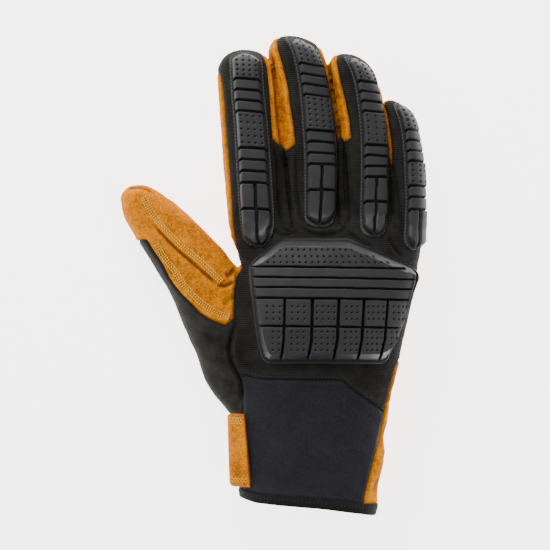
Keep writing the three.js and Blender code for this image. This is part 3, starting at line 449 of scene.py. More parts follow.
def smooth_columns(rows, at):
    """Every column of a table at the given places of its first one, on smooth curves."""
    table = np.array(rows, float)
    if table[0, 0] > table[-1, 0]:
        table = table[::-1]
    key = table[:, 0]
    at = np.clip(at, key[0], key[-1])
    i = np.clip(np.searchsorted(key, at) - 1, 0, len(key) - 2)
    span = key[i + 1] - key[i]
    t = (at - key[i]) / span
    found = []
    for column in table.T[1:]:
        slope = np.gradient(column, key)
        found.append((2 * t**3 - 3 * t**2 + 1) * column[i] + (t**3 - 2 * t**2 + t) * span * slope[i]
                     + (3 * t**2 - 2 * t**3) * column[i + 1] + (t**3 - t**2) * span * slope[i + 1])
    return found


def tube_distance(across, up, past, half_across, half_up, round_end, power):
    """Distance to a tube of superelliptic section with a rounded end, from inside less than nothing."""
    u = np.abs(across) / half_across
    v = np.abs(up) / half_up
    w = np.maximum(past, 0)
    total = u**power + v**power + w**power
    whole = np.maximum(total, 1e-9) ** (1 / power)
    scale = whole ** (1 - power)
    slope = np.sqrt((scale * u ** (power - 1) / half_across) ** 2 + (scale * v ** (power - 1) / half_up) ** 2
                    + (scale * w ** (power - 1) / round_end) ** 2)
    return (whole - 1) / np.maximum(slope, 1e-6)


def blend_union(a, b, width):
    """Union of two distance fields with a rounded inner corner."""
    share = np.clip(0.5 + 0.5 * (b - a) / width, 0, 1)
    return b * (1 - share) + a * share - width * share * (1 - share)


def half_and_height(depth):
    """Half depth and centre height of a section that rests a little flattened."""
    half = depth * FLATTENED / 2
    return half, depth - half


def hand_field(x, y, z):
    """Distance to the hand and cuff."""
    rows = row_of(y)
    left, right, depth = smooth_columns(HAND_ROWS, rows)
    middle = ((left + right) / 2 - CENTRE[0]) * PIXEL
    half, height = half_and_height(depth * PALM_DEPTH)
    past = (HAND_ROWS[-1][0] + HAND_ROUND - rows) / HAND_ROUND
    half_wide = (right - left) / 2 * PIXEL
    return tube_distance(x - middle, z - height, past, half_wide, half, HAND_ROUND * PIXEL, HAND_POWER)


def finger_columns(name, rows):
    """Middle, half width, depth, roll and lean of a finger at photo rows."""
    table = FINGERS[name]
    before = smooth_columns(table, rows - LEAN_ROWS)[0]
    after = smooth_columns(table, rows + LEAN_ROWS)[0]
    return (*smooth_columns(table, rows), np.arctan((after - before) / (2 * LEAN_ROWS)))


def finger_field(name, x, y, z):
    """Distance to one finger."""
    table = FINGERS[name]
    rows = row_of(y)
    middle, half_wide, depth, _, lean = finger_columns(name, rows)
    half, height = half_and_height(depth * PALM_DEPTH)
    tip_past = (table[-1][0] + TIP_ROUND - rows) / TIP_ROUND
    root_past = (rows - table[0][0] + ROOT_ROUND) / ROOT_ROUND
    past = np.maximum(tip_past, root_past)
    across = (x - (middle - CENTRE[0]) * PIXEL) * np.cos(lean)
    return tube_distance(across, z - height, past, half_wide * PIXEL, half, TIP_ROUND * PIXEL, FINGER_POWER)


def thumb_places(x, y):
    """Places along and across the thumb's axis, in photo pixels."""
    start = np.array(THUMB_AXIS[0], float)
    way = np.array(THUMB_AXIS[1], float) - start
    length = np.linalg.norm(way)
    way /= length
    columns = column_of(x) - start[0]
    rows = row_of(y) - start[1]
    return columns * way[0] + rows * way[1], columns * -way[1] + rows * way[0], length


def thumb_field(x, y, z):
    """Distance to the thumb, whose two sides follow their own outlines."""
    along, across, length = thumb_places(x, y)
    sides = []
    for outline in (THUMB_LOW, THUMB_HIGH):
        points = np.array(outline, float)
        s, t, _ = thumb_places(*spot(points[:, 0], points[:, 1]))
        sides.append(smooth_columns(sorted(zip(s, t)), along)[0])
    depth = smooth_columns(THUMB_DEPTHS, along / length)[0]
    half, height = half_and_height(depth * PALM_DEPTH)
    middle = (sides[0] + sides[1]) / 2
    wide = np.abs(sides[1] - sides[0]) / 2
    past = np.maximum((along - length + THUMB_ROUND) / THUMB_ROUND, (-along - THUMB_ROOT[0]) / THUMB_ROOT[1])
    return tube_distance((across - middle) * PIXEL, z - height, past, wide * PIXEL, half, THUMB_ROUND * PIXEL,
                         FINGER_POWER)


def glove_field(x, y, z):
    """Distance to the whole glove: fingers join the hand softly and stay apart from each other."""
    hand = blend_union(hand_field(x, y, z), thumb_field(x, y, z), THUMB_BLEND)
    whole = None
    for name in FINGERS:
        joined = blend_union(hand, finger_field(name, x, y, z), FINGER_BLEND)
        whole = joined if whole is None else np.minimum(whole, joined)
    return -blend_union(-whole, z, FLOOR_BLEND)


def surface_of(field, origin, step):
    """Points and quads of a field's zero surface, one point for each cell that it crosses."""
    inside = field < 0
    cells = tuple(n - 1 for n in field.shape)
    total = np.zeros(cells + (3,), np.float32)
    count = np.zeros(cells, np.float32)

    def corner(i, j, k, values):
        return values[i:i + cells[0], j:j + cells[1], k:k + cells[2]]

    for axis in range(3):
        for b in (0, 1):
            for c in (0, 1):
                start = [b, c]
                start.insert(axis, 0)
                end = list(start)
                end[axis] = 1
                first, last = corner(*start, field), corner(*end, field)
                crossed = corner(*start, inside) != corner(*end, inside)
                share = np.where(crossed, first / np.where(crossed, first - last, 1), 0)
                for other in range(3):
                    total[..., other] += crossed * (share if other == axis else start[other])
                count += crossed
    used = count > 0
    number = np.full(cells, -1, np.int64)
    number[used] = np.arange(used.sum())
    base = np.argwhere(used)
    points = (base + total[used] / count[used][:, None]) * step + origin
    quads = []
    for axis in range(3):
        others = [a for a in range(3) if a != axis]
        low = [slice(0, -1)] * 3
        high = [slice(0, -1)] * 3
        high[axis] = slice(1, None)
        for a in others:
            low[a] = slice(1, -1)
            high[a] = slice(1, -1)
        first, last = inside[tuple(low)], inside[tuple(high)]
        places = np.argwhere(first != last)
        flip = first[tuple(places.T)]
        places = places.copy()
        for a in others:
            places[:, a] += 1
        ring = []
        for da, db in ((0, 0), (1, 0), (1, 1), (0, 1)):
            at = places.copy()
            at[:, others[0]] -= da
            at[:, others[1]] -= db
            ring.append(number[tuple(at.T)])
        quad = np.stack(ring, 1)
        turned = flip if axis != 1 else ~flip
        quad[turned] = quad[turned][:, ::-1]
        quads.append(quad)
    return points, np.concatenate(quads)


def grid_value(field, origin, step, points):
    """A field's values at points, by trilinear interpolation."""
    at = (points - origin) / step
    low = np.clip(at.astype(int), 0, np.array(field.shape) - 2)
    t = at - low
    value = 0
    for i in (0, 1):
        for j in (0, 1):
            for k in (0, 1):
                weight = (np.abs(1 - i - t[:, 0]) * np.abs(1 - j - t[:, 1]) * np.abs(1 - k - t[:, 2]))
                value = value + weight * field[low[:, 0] + i, low[:, 1] + j, low[:, 2] + k]
    return value


def face_crosses(points, faces):
    """The cross product of two sides of each face, along its normal."""
    return np.cross(points[faces[:, 1]] - points[faces[:, 0]], points[faces[:, 2]] - points[faces[:, 0]])


def looks_inward(points, faces):
    """Whether a closed mesh is inside out."""
    return np.einsum("ij,ij->", points[faces[:, 0]], face_crosses(points, faces)) < 0


def edges_of(triangles):
    """The ends of the three edges of every triangle."""
    return np.concatenate([triangles[:, [0, 1]], triangles[:, [1, 2]], triangles[:, [2, 0]]])


def border_of(triangles):
    """The edges that only one triangle has."""
    edges = edges_of(triangles)
    _, index, times = np.unique(np.sort(edges, 1), axis=0, return_index=True, return_counts=True)
    return edges[index[times == 1]]


def vertex_normals(points, triangles):
    """Unit normals at the points of a triangle mesh."""
    face = face_crosses(points, triangles)
    normals = np.zeros_like(points)
    for corner in range(3):
        np.add.at(normals, triangles[:, corner], face)
    return normals / np.maximum(np.linalg.norm(normals, axis=1, keepdims=True), 1e-12)


def relaxed(points, triangles, rounds, share):
    """Points moved towards the mean of their neighbours."""
    pairs = edges_of(triangles)
    degree = np.bincount(pairs.ravel(), minlength=len(points))[:, None]
    for _ in range(rounds):
        total = np.zeros_like(points)
        for axis in range(3):
            total[:, axis] = (np.bincount(pairs[:, 0], points[pairs[:, 1], axis], len(points))
                              + np.bincount(pairs[:, 1], points[pairs[:, 0], axis], len(points)))
        points = points + share * (total / np.maximum(degree, 1) - points)
    return points


def outline_distance(outline, x, y):
    """Distance to a closed outline given in photo pixels, in metres, less than nothing inside."""
    corners = spots(outline)
    least = np.full(np.shape(x), 1e9)
    inside = np.zeros(np.shape(x), bool)
    for a, b in zip(corners, np.roll(corners, -1, axis=0)):
        way = b - a
        t = np.clip(((x - a[0]) * way[0] + (y - a[1]) * way[1]) / max(way @ way, 1e-12), 0, 1)
        least = np.minimum(least, np.hypot(x - a[0] - t * way[0], y - a[1] - t * way[1]))
        crosses = (a[1] > y) != (b[1] > y)
        with np.errstate(divide="ignore", invalid="ignore"):
            inside ^= crosses & (x < way[0] * (y - a[1]) / way[1] + a[0])
    return np.where(inside, -least, least)


def line_distance(line, x, y):
    """Distance in metres to an open line given in photo pixels, and the share of the line that is nearest."""
    corners = spots(line)
    least = np.full(np.shape(x), 1e9)
    share = np.zeros(np.shape(x))
    for i, (a, b) in enumerate(zip(corners, corners[1:])):
        way = b - a
        t = np.clip(((x - a[0]) * way[0] + (y - a[1]) * way[1]) / max(way @ way, 1e-12), 0, 1)
        away = np.hypot(x - a[0] - t * way[0], y - a[1] - t * way[1])
        share = np.where(away < least, (i + t) / (len(corners) - 1), share)
        least = np.minimum(least, away)
    return least, share


def split_mesh(mesh, values):
    """Cuts a mesh where values cross nothing: the parts where they are less and more than nothing."""
    points, triangles, data = mesh
    below = values < 0
    edges = np.unique(np.sort(edges_of(triangles), 1), axis=0)
    crossed = edges[below[edges[:, 0]] != below[edges[:, 1]]]
    first, last = values[crossed[:, 0]], values[crossed[:, 1]]
    share = np.clip(first / (first - last), 0.02, 0.98)[:, None]
    whole = np.concatenate([points, points[crossed[:, 0]] * (1 - share) + points[crossed[:, 1]] * share])
    whole_data = np.concatenate([data, data[crossed[:, 0]] * (1 - share) + data[crossed[:, 1]] * share])
    lookup = {(a, b): len(points) + i for i, (a, b) in enumerate(map(tuple, crossed))}
    state = below[triangles]
    parts = {side: list(map(tuple, triangles[(state == side).all(1)])) for side in (True, False)}
    for a, b, c in triangles[state.any(1) & ~state.all(1)]:
        if below[a] == below[c]:
            a, b, c = b, c, a
        elif below[a] == below[b]:
            a, b, c = c, a, b
        ab = lookup[(min(a, b), max(a, b))]
        ac = lookup[(min(a, c), max(a, c))]
        parts[bool(below[a])].append((a, ab, ac))
        parts[bool(below[b])].extend([(ab, b, c), (ab, c, ac)])
    return [compact(whole, np.array(parts[side], int).reshape(-1, 3), whole_data) for side in (True, False)]


def compact(points, triangles, data):
    """A mesh without the points that its triangles leave unused."""
    used = np.unique(triangles)
    number = np.full(len(points), -1)
    number[used] = np.arange(len(used))
    return points[used], number[triangles], data[used]


def main_pieces(mesh, least=400):
    """The mesh without its crumbs: connected groups of fewer triangles than the least."""
    points, triangles, data = mesh
    label = np.arange(len(points))
    while True:
        lowest = label[triangles].min(1)
        new = label.copy()
        for corner in range(3):
            np.minimum.at(new, triangles[:, corner], lowest)
        new = new[new]
        if (new == label).all():
            break
        label = new
    groups = label[triangles[:, 0]]
    names, counts = np.unique(groups, return_counts=True)
    return compact(points, triangles[np.isin(groups, names[counts >= least])], data)


def walled(points, triangles, normals, thickness):
    """A closed wall: the surface, its copy moved inwards and the rim between them."""
    inner = points - normals * thickness
    inner[:, 2] = np.maximum(inner[:, 2], thickness * 0.9)
    count = len(points)
    rim = border_of(triangles)
    faces = [triangles, triangles[:, ::-1] + count,
             np.stack([rim[:, 1], rim[:, 0], rim[:, 0] + count], 1),
             np.stack([rim[:, 1], rim[:, 0] + count, rim[:, 1] + count], 1)]
    return np.concatenate([points, inner]), np.concatenate(faces)


def link_object(name, data):
    """An object of a mesh, light or camera, linked to the scene."""
    piece = bpy.data.objects.new(name, data)
    bpy.context.scene.collection.objects.link(piece)
    return piece


def add_object(name, points, faces, material, attributes=None):
    """A smooth mesh object at the origin from arrays."""
    mesh = bpy.data.meshes.new(name)
    mesh.from_pydata([tuple(p) for p in points], [], [tuple(int(i) for i in f) for f in faces])
    mesh.materials.append(material)
    mesh.polygons.foreach_set("use_smooth", [True] * len(mesh.polygons))
    for key, values in (attributes or {}).items():
        layer = mesh.attributes.new(key, "FLOAT", "POINT")
        layer.data.foreach_set("value", np.asarray(values, np.float32))
    mesh.update()
    return link_object(name, mesh)


def ring_faces(rings, count, closed=False):
    """The four-sided faces from ring to ring, each ring of count points."""
    faces = []
    for i in range(rings if closed else rings - 1):
        j = (i + 1) % rings
        for k in range(count):
            m = (k + 1) % count
            faces.append((i * count + k, j * count + k, j * count + m, i * count + m))
    return np.array(faces)


def settle(piece, slot, *nodes):
    """The frame's calls that every piece gets."""
    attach(piece, "root")
    if nodes:
        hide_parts(*nodes)
    return piece


class Wire:
    """A socket of a material's tree, used as a number: an expression adds its Math nodes."""

    def __init__(self, finish, socket):
        self.finish = finish
        self.socket = socket

    def _math(self, operation, first, second=None):
        values = [first] if second is None else [first, second]
        return self.finish.node("ShaderNodeMath", {"operation": operation}, dict(enumerate(values)))

    def __add__(self, other):
        return self._math("ADD", self, other)

    def __radd__(self, other):
        return self._math("ADD", other, self)

    def __sub__(self, other):
        return self._math("SUBTRACT", self, other)

    def __rsub__(self, other):
        return self._math("SUBTRACT", other, self)

    def __mul__(self, other):
        return self._math("MULTIPLY", self, other)

    def sine(self):
        """Its sine, from an angle in radians."""
        return self._math("SINE", self)


class Finish:
    """A material and the tools that build its tree."""

    def __init__(self, name):
        self.material = bpy.data.materials.new(name)
        self.material.use_nodes = True
        self.tree = self.material.node_tree
        self.shader = self.tree.nodes["Principled BSDF"]

    def node(self, kind, settings=None, values=None, output=0):
        """A node with its settings, then its sockets' values or links; returns one of its outputs."""
        node = self.tree.nodes.new(kind)
        for key, value in (settings or {}).items():
            setattr(node, key, value)
        for key, value in (values or {}).items():
            self.feed(node.inputs[key], value)
        return Wire(self, node.outputs[output])

    def feed(self, socket, value):
        """Gives a socket a link, a colour or a plain value."""
        if isinstance(value, Wire):
            self.tree.links.new(value.socket, socket)
        elif hasattr(value, "__len__") and len(value) == 3 and socket.type == "RGBA":
            socket.default_value = (*value, 1)
        else:
            socket.default_value = value

    def place(self):
        """Where the shaded point lies, in metres of the object's own frame."""
        return self.node("ShaderNodeTexCoord", output="Object")

    def part(self, place, axis):
        """One part of a place: 0 across the hand, 1 along it."""
        return self.node("ShaderNodeSeparateXYZ", values={0: place}, output=axis)

    def noise(self, place, scale, detail=3.0, rough=0.5):
        """Noise from about -0.5 to 0.5 in repeats per metre."""
        value = self.node("ShaderNodeTexNoise", values={
            "Vector": place, "Scale": scale, "Detail": detail, "Roughness": rough})
        return value - 0.5

    def mix(self, share, first, second):
        """A colour between two."""
        node = self.tree.nodes.new("ShaderNodeMix")
        node.data_type = "RGBA"
        node.clamp_factor = True
        for key, value in ((0, share), (6, first), (7, second)):
            self.feed(node.inputs[key], value)
        return Wire(self, node.outputs[2])

    def attribute(self, name):
        """A value that the mesh keeps at its points."""
        return self.node("ShaderNodeAttribute", {"attribute_name": name}, output="Fac")

    def finish(self, colour, roughness, height=None, distance=0.0005, strength=1.0, **fixed):
        """Feeds the shader: colour, roughness, a bump's height in units of the distance, fixed values."""
        self.feed(self.shader.inputs["Base Color"], colour)
        self.feed(self.shader.inputs["Roughness"], roughness)
        if height is not None:
            bump = self.node("ShaderNodeBump", output="Normal", values={
                "Strength": strength, "Distance": distance, "Height": height})
            self.feed(self.shader.inputs["Normal"], bump)
        for key, value in fixed.items():
            self.shader.inputs[key.replace("_", " ")].default_value = value
        return self.material


def shade(colour, factor):
    """A colour made lighter or darker."""
    return tuple(min(1.0, part * factor) for part in colour)


def suede_finish(colour):
    """Tan suede-like leather: mottled nap, fine grain, painted shade in hollows, painted highlight and wear
    on edges.
    """
    finish = Finish("Suede")
    place = finish.place()
    broad = finish.noise(place, 70, 3, 0.6)
    patch = finish.noise(place, 330, 4, 0.65)
    grain = finish.noise(place, 1100, 4, 0.7)
    fine = finish.noise(place, 2600, 2, 0.6)
    hollow = finish.attribute("hollow")
    wear_and_highlight = finish.attribute("wear_and_highlight")
    tone = finish.mix(0.5 + broad * 1.5 + patch * 1.6 + grain * 3.0, shade(colour, 0.48), shade(colour, 1.3))
    pale = (min(1.0, colour[0] * 1.15), colour[1] * 1.6, 0.0)
    # Paler on fold ridges and on the shoulders beside seams: painted highlight, with some wear
    tone = finish.mix(wear_and_highlight * (0.6 + patch * 2.5), tone, pale)
    # Painted shade in creases, along seams and on the inner wall
    tone = finish.mix(hollow * 0.8, tone, shade(colour, 0.16))
    height = broad * 1.2 + patch * 0.9 + grain * 0.8 + fine * 0.3
    return finish.finish(tone, 0.86 + grain * 0.2, height, 0.0006, 0.85, Specular_IOR_Level=0.06)


def knit_finish(name, colour, rib):
    """Black stretch knit with fine ribs across the hand."""
    finish = Finish(name)
    place = finish.place()
    down, across = finish.part(place, 1), finish.part(place, 0)
    drift = finish.noise(place, 60, 2)
    cloud = finish.noise(place, 110, 4, 0.65)
    ribs = ((down + drift * 0.0012) * (2 * math.pi / RIB_PITCH)).sine()
    loops = ((across + drift * 0.001) * (2 * math.pi / LOOP_PITCH)).sine()
    fuzz = finish.noise(place, 2400, 3, 0.7)
    hollow = finish.attribute("hollow")
    wear_and_highlight = finish.attribute("wear_and_highlight")
    height = ribs * rib * 1.6 + loops * ribs * rib * 0.8 + fuzz * 0.8 + cloud * 1.2
    # The tone follows the ribs: crests painted lighter and troughs darker, a painted highlight and shade
    tone = finish.mix(0.42 + ribs * rib + fuzz * 0.9 + cloud * 1.5, shade(colour, 0.4), shade(colour, 2.45))
    # Paler on fold ridges and on the shoulders beside seams: painted highlight, with some wear
    tone = finish.mix(wear_and_highlight * 0.5, tone, shade(colour, 2.6))
    # Painted shade in creases, along seams and on the inner wall
    tone = finish.mix(hollow * 0.8, tone, shade(colour, 0.15))
    return finish.finish(tone, 0.85 + fuzz * 0.2, height, 0.0003, 0.8,
                         Sheen_Weight=0.03, Sheen_Roughness=0.5, Specular_IOR_Level=0.14)


def neoprene_finish(colour):
    """Bluish black neoprene with a fine jersey face."""
    finish = Finish("Neoprene")
    place = finish.place()
    broad = finish.noise(place, 60, 3)
    jersey = finish.node("ShaderNodeTexVoronoi", {"feature": "F1"}, {"Vector": place, "Scale": 1500.0})
    fuzz = finish.noise(place, 2200, 3, 0.6)
    speck = finish.noise(place, 950, 2, 0.7)
    tone = finish.mix(0.45 + broad * 0.7 + fuzz * 0.8 + speck * 1.8, shade(colour, 0.6), shade(colour, 1.65))
    return finish.finish(tone, 0.72 + fuzz * 0.2, jersey * 0.5 + fuzz * 0.5 + broad * 0.4, 0.0003, 0.7,
                         Sheen_Weight=0.03, Sheen_Roughness=0.5, Specular_IOR_Level=0.18)


def binding_finish(colour):
    """Woven tape round the hem."""
    finish = Finish("Binding")
    place = finish.place()
    across, down = finish.part(place, 0), finish.part(place, 1)
    weave = (across * (2 * math.pi / WEAVE_PITCH)).sine() * (down * (2 * math.pi / WEAVE_PITCH)).sine()
    fuzz = finish.noise(place, 2400, 3, 0.6)
    tone = finish.mix(0.45 + weave * 0.25 + fuzz * 0.7, shade(colour, 0.6), shade(colour, 1.7))
    return finish.finish(tone, 0.85, weave * 0.5 + fuzz * 0.5, 0.0003, 0.7,
                         Sheen_Weight=0.03, Specular_IOR_Level=0.15)


def rubber_finish(colour):
    """Dark grey moulded rubber, satin: painted shade where hollow is above nothing, painted highlight where
    below.
    """
    finish = Finish("Guard rubber")
    place = finish.place()
    broad = finish.noise(place, 90, 3)
    fine = finish.noise(place, 3000, 3, 0.6)
    hollow = finish.attribute("hollow")
    tone = finish.mix(0.5 + broad * 0.8 + fine * 0.3, shade(colour, 0.8), shade(colour, 1.25))
    # Painted shade in grooves, holes, at the foot of the body and on the underside
    tone = finish.mix(hollow * 0.85, tone, shade(colour, 0.12))
    # Painted highlight where hollow is below nothing, on the knuckle guard's bevels
    tone = finish.mix(0 - hollow, tone, shade(colour, 2.6))
    return finish.finish(tone, 0.5 + broad * 0.3 + fine * 0.1 + hollow * 0.3, fine, 0.00008, 0.6,
                         Specular_IOR_Level=0.42)


def thread_finish(name, colour):
    """Twisted sewing thread."""
    finish = Finish(name)
    place = finish.place()
    twist = finish.noise(place, 2500, 2)
    tone = finish.mix(0.5 + twist * 1.2, shade(colour, 0.7), shade(colour, 1.15))
    return finish.finish(tone, 0.7, twist, 0.0002, 0.6, Specular_IOR_Level=0.2)


def floor_finish():
    """Plain pale paper."""
    finish = Finish("Floor")
    place = finish.place()
    cloud = finish.noise(place, 3, 2)
    return finish.finish(finish.mix(0.5 + cloud, (0.93, 0.93, 0.93), (0.96, 0.96, 0.96)), 0.9,
                         Specular_IOR_Level=0.1, Emission_Color=(1, 1, 1, 1), Emission_Strength=FLOOR_LIGHT)


# What the operators share: materials, lines of stitches, the glove's surface and trees to drop points onto
SHARED = {}


def material(name):
    """A finished material, made once."""
    made = SHARED.setdefault("materials", {})
    if name not in made:
        colours = bpy.context.scene.glove_colours
        makers = {
            "suede": lambda: suede_finish(tuple(colours.suede)),
            "knit": lambda: knit_finish("Knit", tuple(colours.knit), 0.24),
            # The gusset's knit: plainer ribs, and painted paler to make up for facing left and down, away
            # from the lamps
            "plain knit": lambda: knit_finish("Plain knit", shade(tuple(colours.knit), 1.6), 0.06),
            "neoprene": lambda: neoprene_finish(tuple(colours.neoprene)),
            "binding": lambda: binding_finish(shade(tuple(colours.knit), 0.8)),
            "rubber": lambda: rubber_finish(tuple(colours.rubber)),
            "thread": lambda: thread_finish("Pale thread", tuple(colours.thread)),
            "dark_thread": lambda: thread_finish("Dark thread", DARK_THREAD),
            # Dark beads made with the thread's finish: painted shade in the needle holes
            "hole_thread": lambda: thread_finish("Stitch hole shade", HOLE_SHADE),
            "grey_thread": lambda: thread_finish("Grey thread", GREY_THREAD),
            "floor": floor_finish,
        }
        made[name] = makers[name]()
    return made[name]


def hem_line(x):
    """Where the panels end at the hem, as y for each x."""
    corners = spots(HEM_TOP)
    return np.interp(x, corners[:, 0], corners[:, 1])


def glove_surface():
    """Points, triangles and normals of the whole outer surface, made once; its folded copy goes into the
    tree.
    """
    if "surface" in SHARED:
        return SHARED["surface"]
    step = bpy.context.scene.glove_sizes.cell
    low = np.array([*spot(*SURFACE_CORNERS[0]), -SURFACE_BELOW]) - step
    high = np.array([*spot(*SURFACE_CORNERS[1]), PALM_DEPTH * SURFACE_ABOVE])
    axes = [np.arange(low[i], high[i] + step, step, dtype=np.float64) for i in range(3)]
    x = axes[0][:, None, None]
    y = axes[1][None, :, None]
    z = axes[2][None, None, :]
    field = glove_field(x, y, z).astype(np.float32)
    field = np.ascontiguousarray(np.broadcast_to(field, [len(a) for a in axes]))
    points, quads = surface_of(field, low, step)
    triangles = np.concatenate([quads[:, [0, 1, 2]], quads[:, [0, 2, 3]]])
    slopes = np.gradient(field, step)
    for _ in range(3):
        points = relaxed(points, triangles, 2, 0.6)
        value = grid_value(field, low, step, points)
        normal = np.stack([grid_value(s, low, step, points) for s in slopes], 1)
        length = np.maximum(np.linalg.norm(normal, axis=1, keepdims=True), 0.2)
        points = points - np.clip(value[:, None] / length, -step, step) * normal / length
    if looks_inward(points, triangles):
        triangles = triangles[:, ::-1]
    normals = vertex_normals(points, triangles)
    SHARED["surface"] = (points, triangles, normals)
    SHARED["tree"] = tree_of(folded(points, normals)[0], triangles)
    return SHARED["surface"]


def tree_of(points, triangles):
    """A tree for dropping points onto a surface."""
    return BVHTree.FromPolygons([tuple(p) for p in points], [tuple(map(int, t)) for t in triangles])


def finer(mesh):
    """Every triangle of a mesh cut into four at the middles of its edges."""
    points, triangles, data = mesh
    edges = np.sort(edges_of(triangles), 1)
    unique, place = np.unique(edges, axis=0, return_inverse=True)
    ab, bc, ca = len(points) + place.reshape(3, -1)
    a, b, c = triangles.T
    parts = [np.stack(part, 1) for part in ((a, ab, ca), (b, bc, ab), (c, ca, bc), (ab, bc, ca))]
    return (np.concatenate([points, points[unique].mean(1)]), np.concatenate(parts),
            np.concatenate([data, data[unique].mean(1)]))


def folded(points, normals):
    """The points moved by the folds of the upper side, how deep each lies in one and how high on one."""
    x, y, z = points.T
    upper = np.clip((normals[:, 2] + 0.1) / 0.35, 0, 1)
    move = np.zeros(len(points))
    for line, depth, width in FOLDS:
        corners = spots(line)
        reach = 3 * width * PIXEL
        near = ((x > corners[:, 0].min() - reach) & (x < corners[:, 0].max() + reach)
                & (y > corners[:, 1].min() - reach) & (y < corners[:, 1].max() + reach))
        away, share = line_distance(line, x[near], y[near])
        ends = np.clip(np.minimum(share, 1 - share) / 0.12, 0.15, 1)
        move[near] += depth * MM * ends * bell(away, width * PIXEL)
    waves = (np.sin(x * 310 + 1.3 * np.sin(y * 170)) * np.sin(y * 260 + 1.7 * np.sin(x * 210 + 1))
             + 0.6 * np.sin(x * 620 + y * 480 + 2 * np.sin(y * 300)))
    move = move * upper + waves * 0.12 * MM * np.clip(z / (4 * MM), 0, 1)
    # How deep a place lies in a crease gives painted shade, how high on a ridge a painted highlight
    hollow = np.clip(-move / (1.2 * MM), 0, 1)
    ridge = np.clip(move / (0.8 * MM), 0, 1)
    return points + normals * move[:, None], hollow, ridge


def drop(x, y, tree="tree"):
    """Point and normal of a surface straight below a place."""
    place, normal, _, _ = SHARED[tree].ray_cast(Vector((x, y, 0.1)), Vector((0, 0, -1)))
    if place is None:
        place, normal, _, _ = SHARED[tree].find_nearest(Vector((x, y, 0.015)))
    return place, normal


def panel_field(name, points):
    """A panel's seam distance at points, less than nothing on the panel's side."""
    field = outline_distance(SEAMS[name], points[:, 0], points[:, 1])
    if name not in PANEL_LEVELS:
        return field
    return np.maximum(field, PANEL_LEVELS[name] - points[:, 2])


def add_panel(mesh, name, finish, slot, pull, rise, *nodes):
    """One sewn panel: folded, pulled in along its seams, raised beside them, with a wall."""
    points, triangles, data = main_pieces(mesh)
    if name == "thumb_leather":
        points, triangles, data = finer((points, triangles, data))
    normals = data / np.maximum(np.linalg.norm(data, axis=1, keepdims=True), 1e-9)
    seam = border_distance(points, np.unique(border_of(triangles)))
    points, hollow, ridge = folded(points, normals)
    fall = bell(seam, 0.9 * MM)
    shoulder = bell(seam - 2.0 * MM, 1.1 * MM)
    keep = np.clip(points[:, 2] / (2 * MM), 0, 1)
    points = points + normals * ((rise * shoulder - pull * fall) * keep)[:, None]
    # Painted shade along the seams
    hollow = np.maximum(hollow, fall * 0.8)
    # Painted highlight, with some wear, on the shoulders beside seams and on fold ridges
    wear_and_highlight = np.clip(shoulder * 0.45 + ridge * 0.4, 0, 1)
    SHARED[name] = tree_of(points, triangles)
    points, faces = walled(points, triangles, normals, WALL)
    # The inner copy and the rim are painted fully dark, as shade
    attributes = {"hollow": np.concatenate([hollow, np.ones(len(hollow))]),
                  "wear_and_highlight": np.concatenate([wear_and_highlight, np.zeros(len(wear_and_highlight))])}
    piece = add_object(f"{name}_skin", points, faces, material(finish), attributes=attributes)
    return settle(piece, slot, *nodes)


def border_distance(points, border):
    """Distance of each point to the nearest border point."""
    tree = KDTree(len(border))
    for i in border:
        tree.insert(points[i], int(i))
    tree.balance()
    return np.array([tree.find(p)[2] for p in points])


class GLOVE_OT_panels(bpy.types.Operator):
    """Builds the sewn panels of knit, leather and neoprene."""

    bl_idname = "glove.panels"
    bl_label = "Sewn panels"

    def execute(self, context):
        pull = context.scene.glove_sizes.seam_depth
        mesh = glove_surface()
        _, mesh = split_mesh(mesh, mesh[0][:, 1] - hem_line(mesh[0][:, 0]))
        backs = [f"finger_back_{name}" for name in FINGERS]
        sides = [f"finger_leather_{name}" for name in FINGERS]
        cuts = (("thumb", "thumb_leather", "suede", ["thumb_leather"]),
                ("gusset", "thumb_gusset", "plain knit", ["thumb_gusset"]),
                ("cuff", "cuff", "neoprene", ["cuff"]),
                ("back", "back_panel", "knit", ["back_panel", *backs]))
        for seam, name, finish, nodes in cuts:
            panel, mesh = split_mesh(mesh, panel_field(seam, mesh[0]))
            share, rise = LEATHER_SEAM if finish == "suede" else CLOTH_SEAM
            add_panel(panel, name, finish, finish.split()[-1], pull * share, rise, *nodes)
        share, rise = PALM_SEAM
        add_panel(mesh, "palm_panel", "suede", "suede", pull * share, rise, "palm_panel", *sides)
        return {"FINISHED"}


def resampled(line, count):
    """Points at even distances along a line of pixel places, in metres."""
    corners = spots(line)
    length = np.concatenate([[0], np.cumsum(np.hypot(*np.diff(corners, axis=0).T))])
    at = np.linspace(0, length[-1], count)
    return np.stack([np.interp(at, length, corners[:, 0]), np.interp(at, length, corners[:, 1])], 1)


def grid_quads(number):
    """The four-sided faces between the numbered points of a grid."""
    return np.stack([number[:-1, :-1], number[:-1, 1:], number[1:, 1:], number[1:, :-1]], -1).reshape(-1, 4)


def grid_rim(number):
    """The numbers along a grid's border, once round."""
    return np.concatenate([number[0, :-1], number[:-1, -1], number[-1, :0:-1], number[:0:-1, 0]])


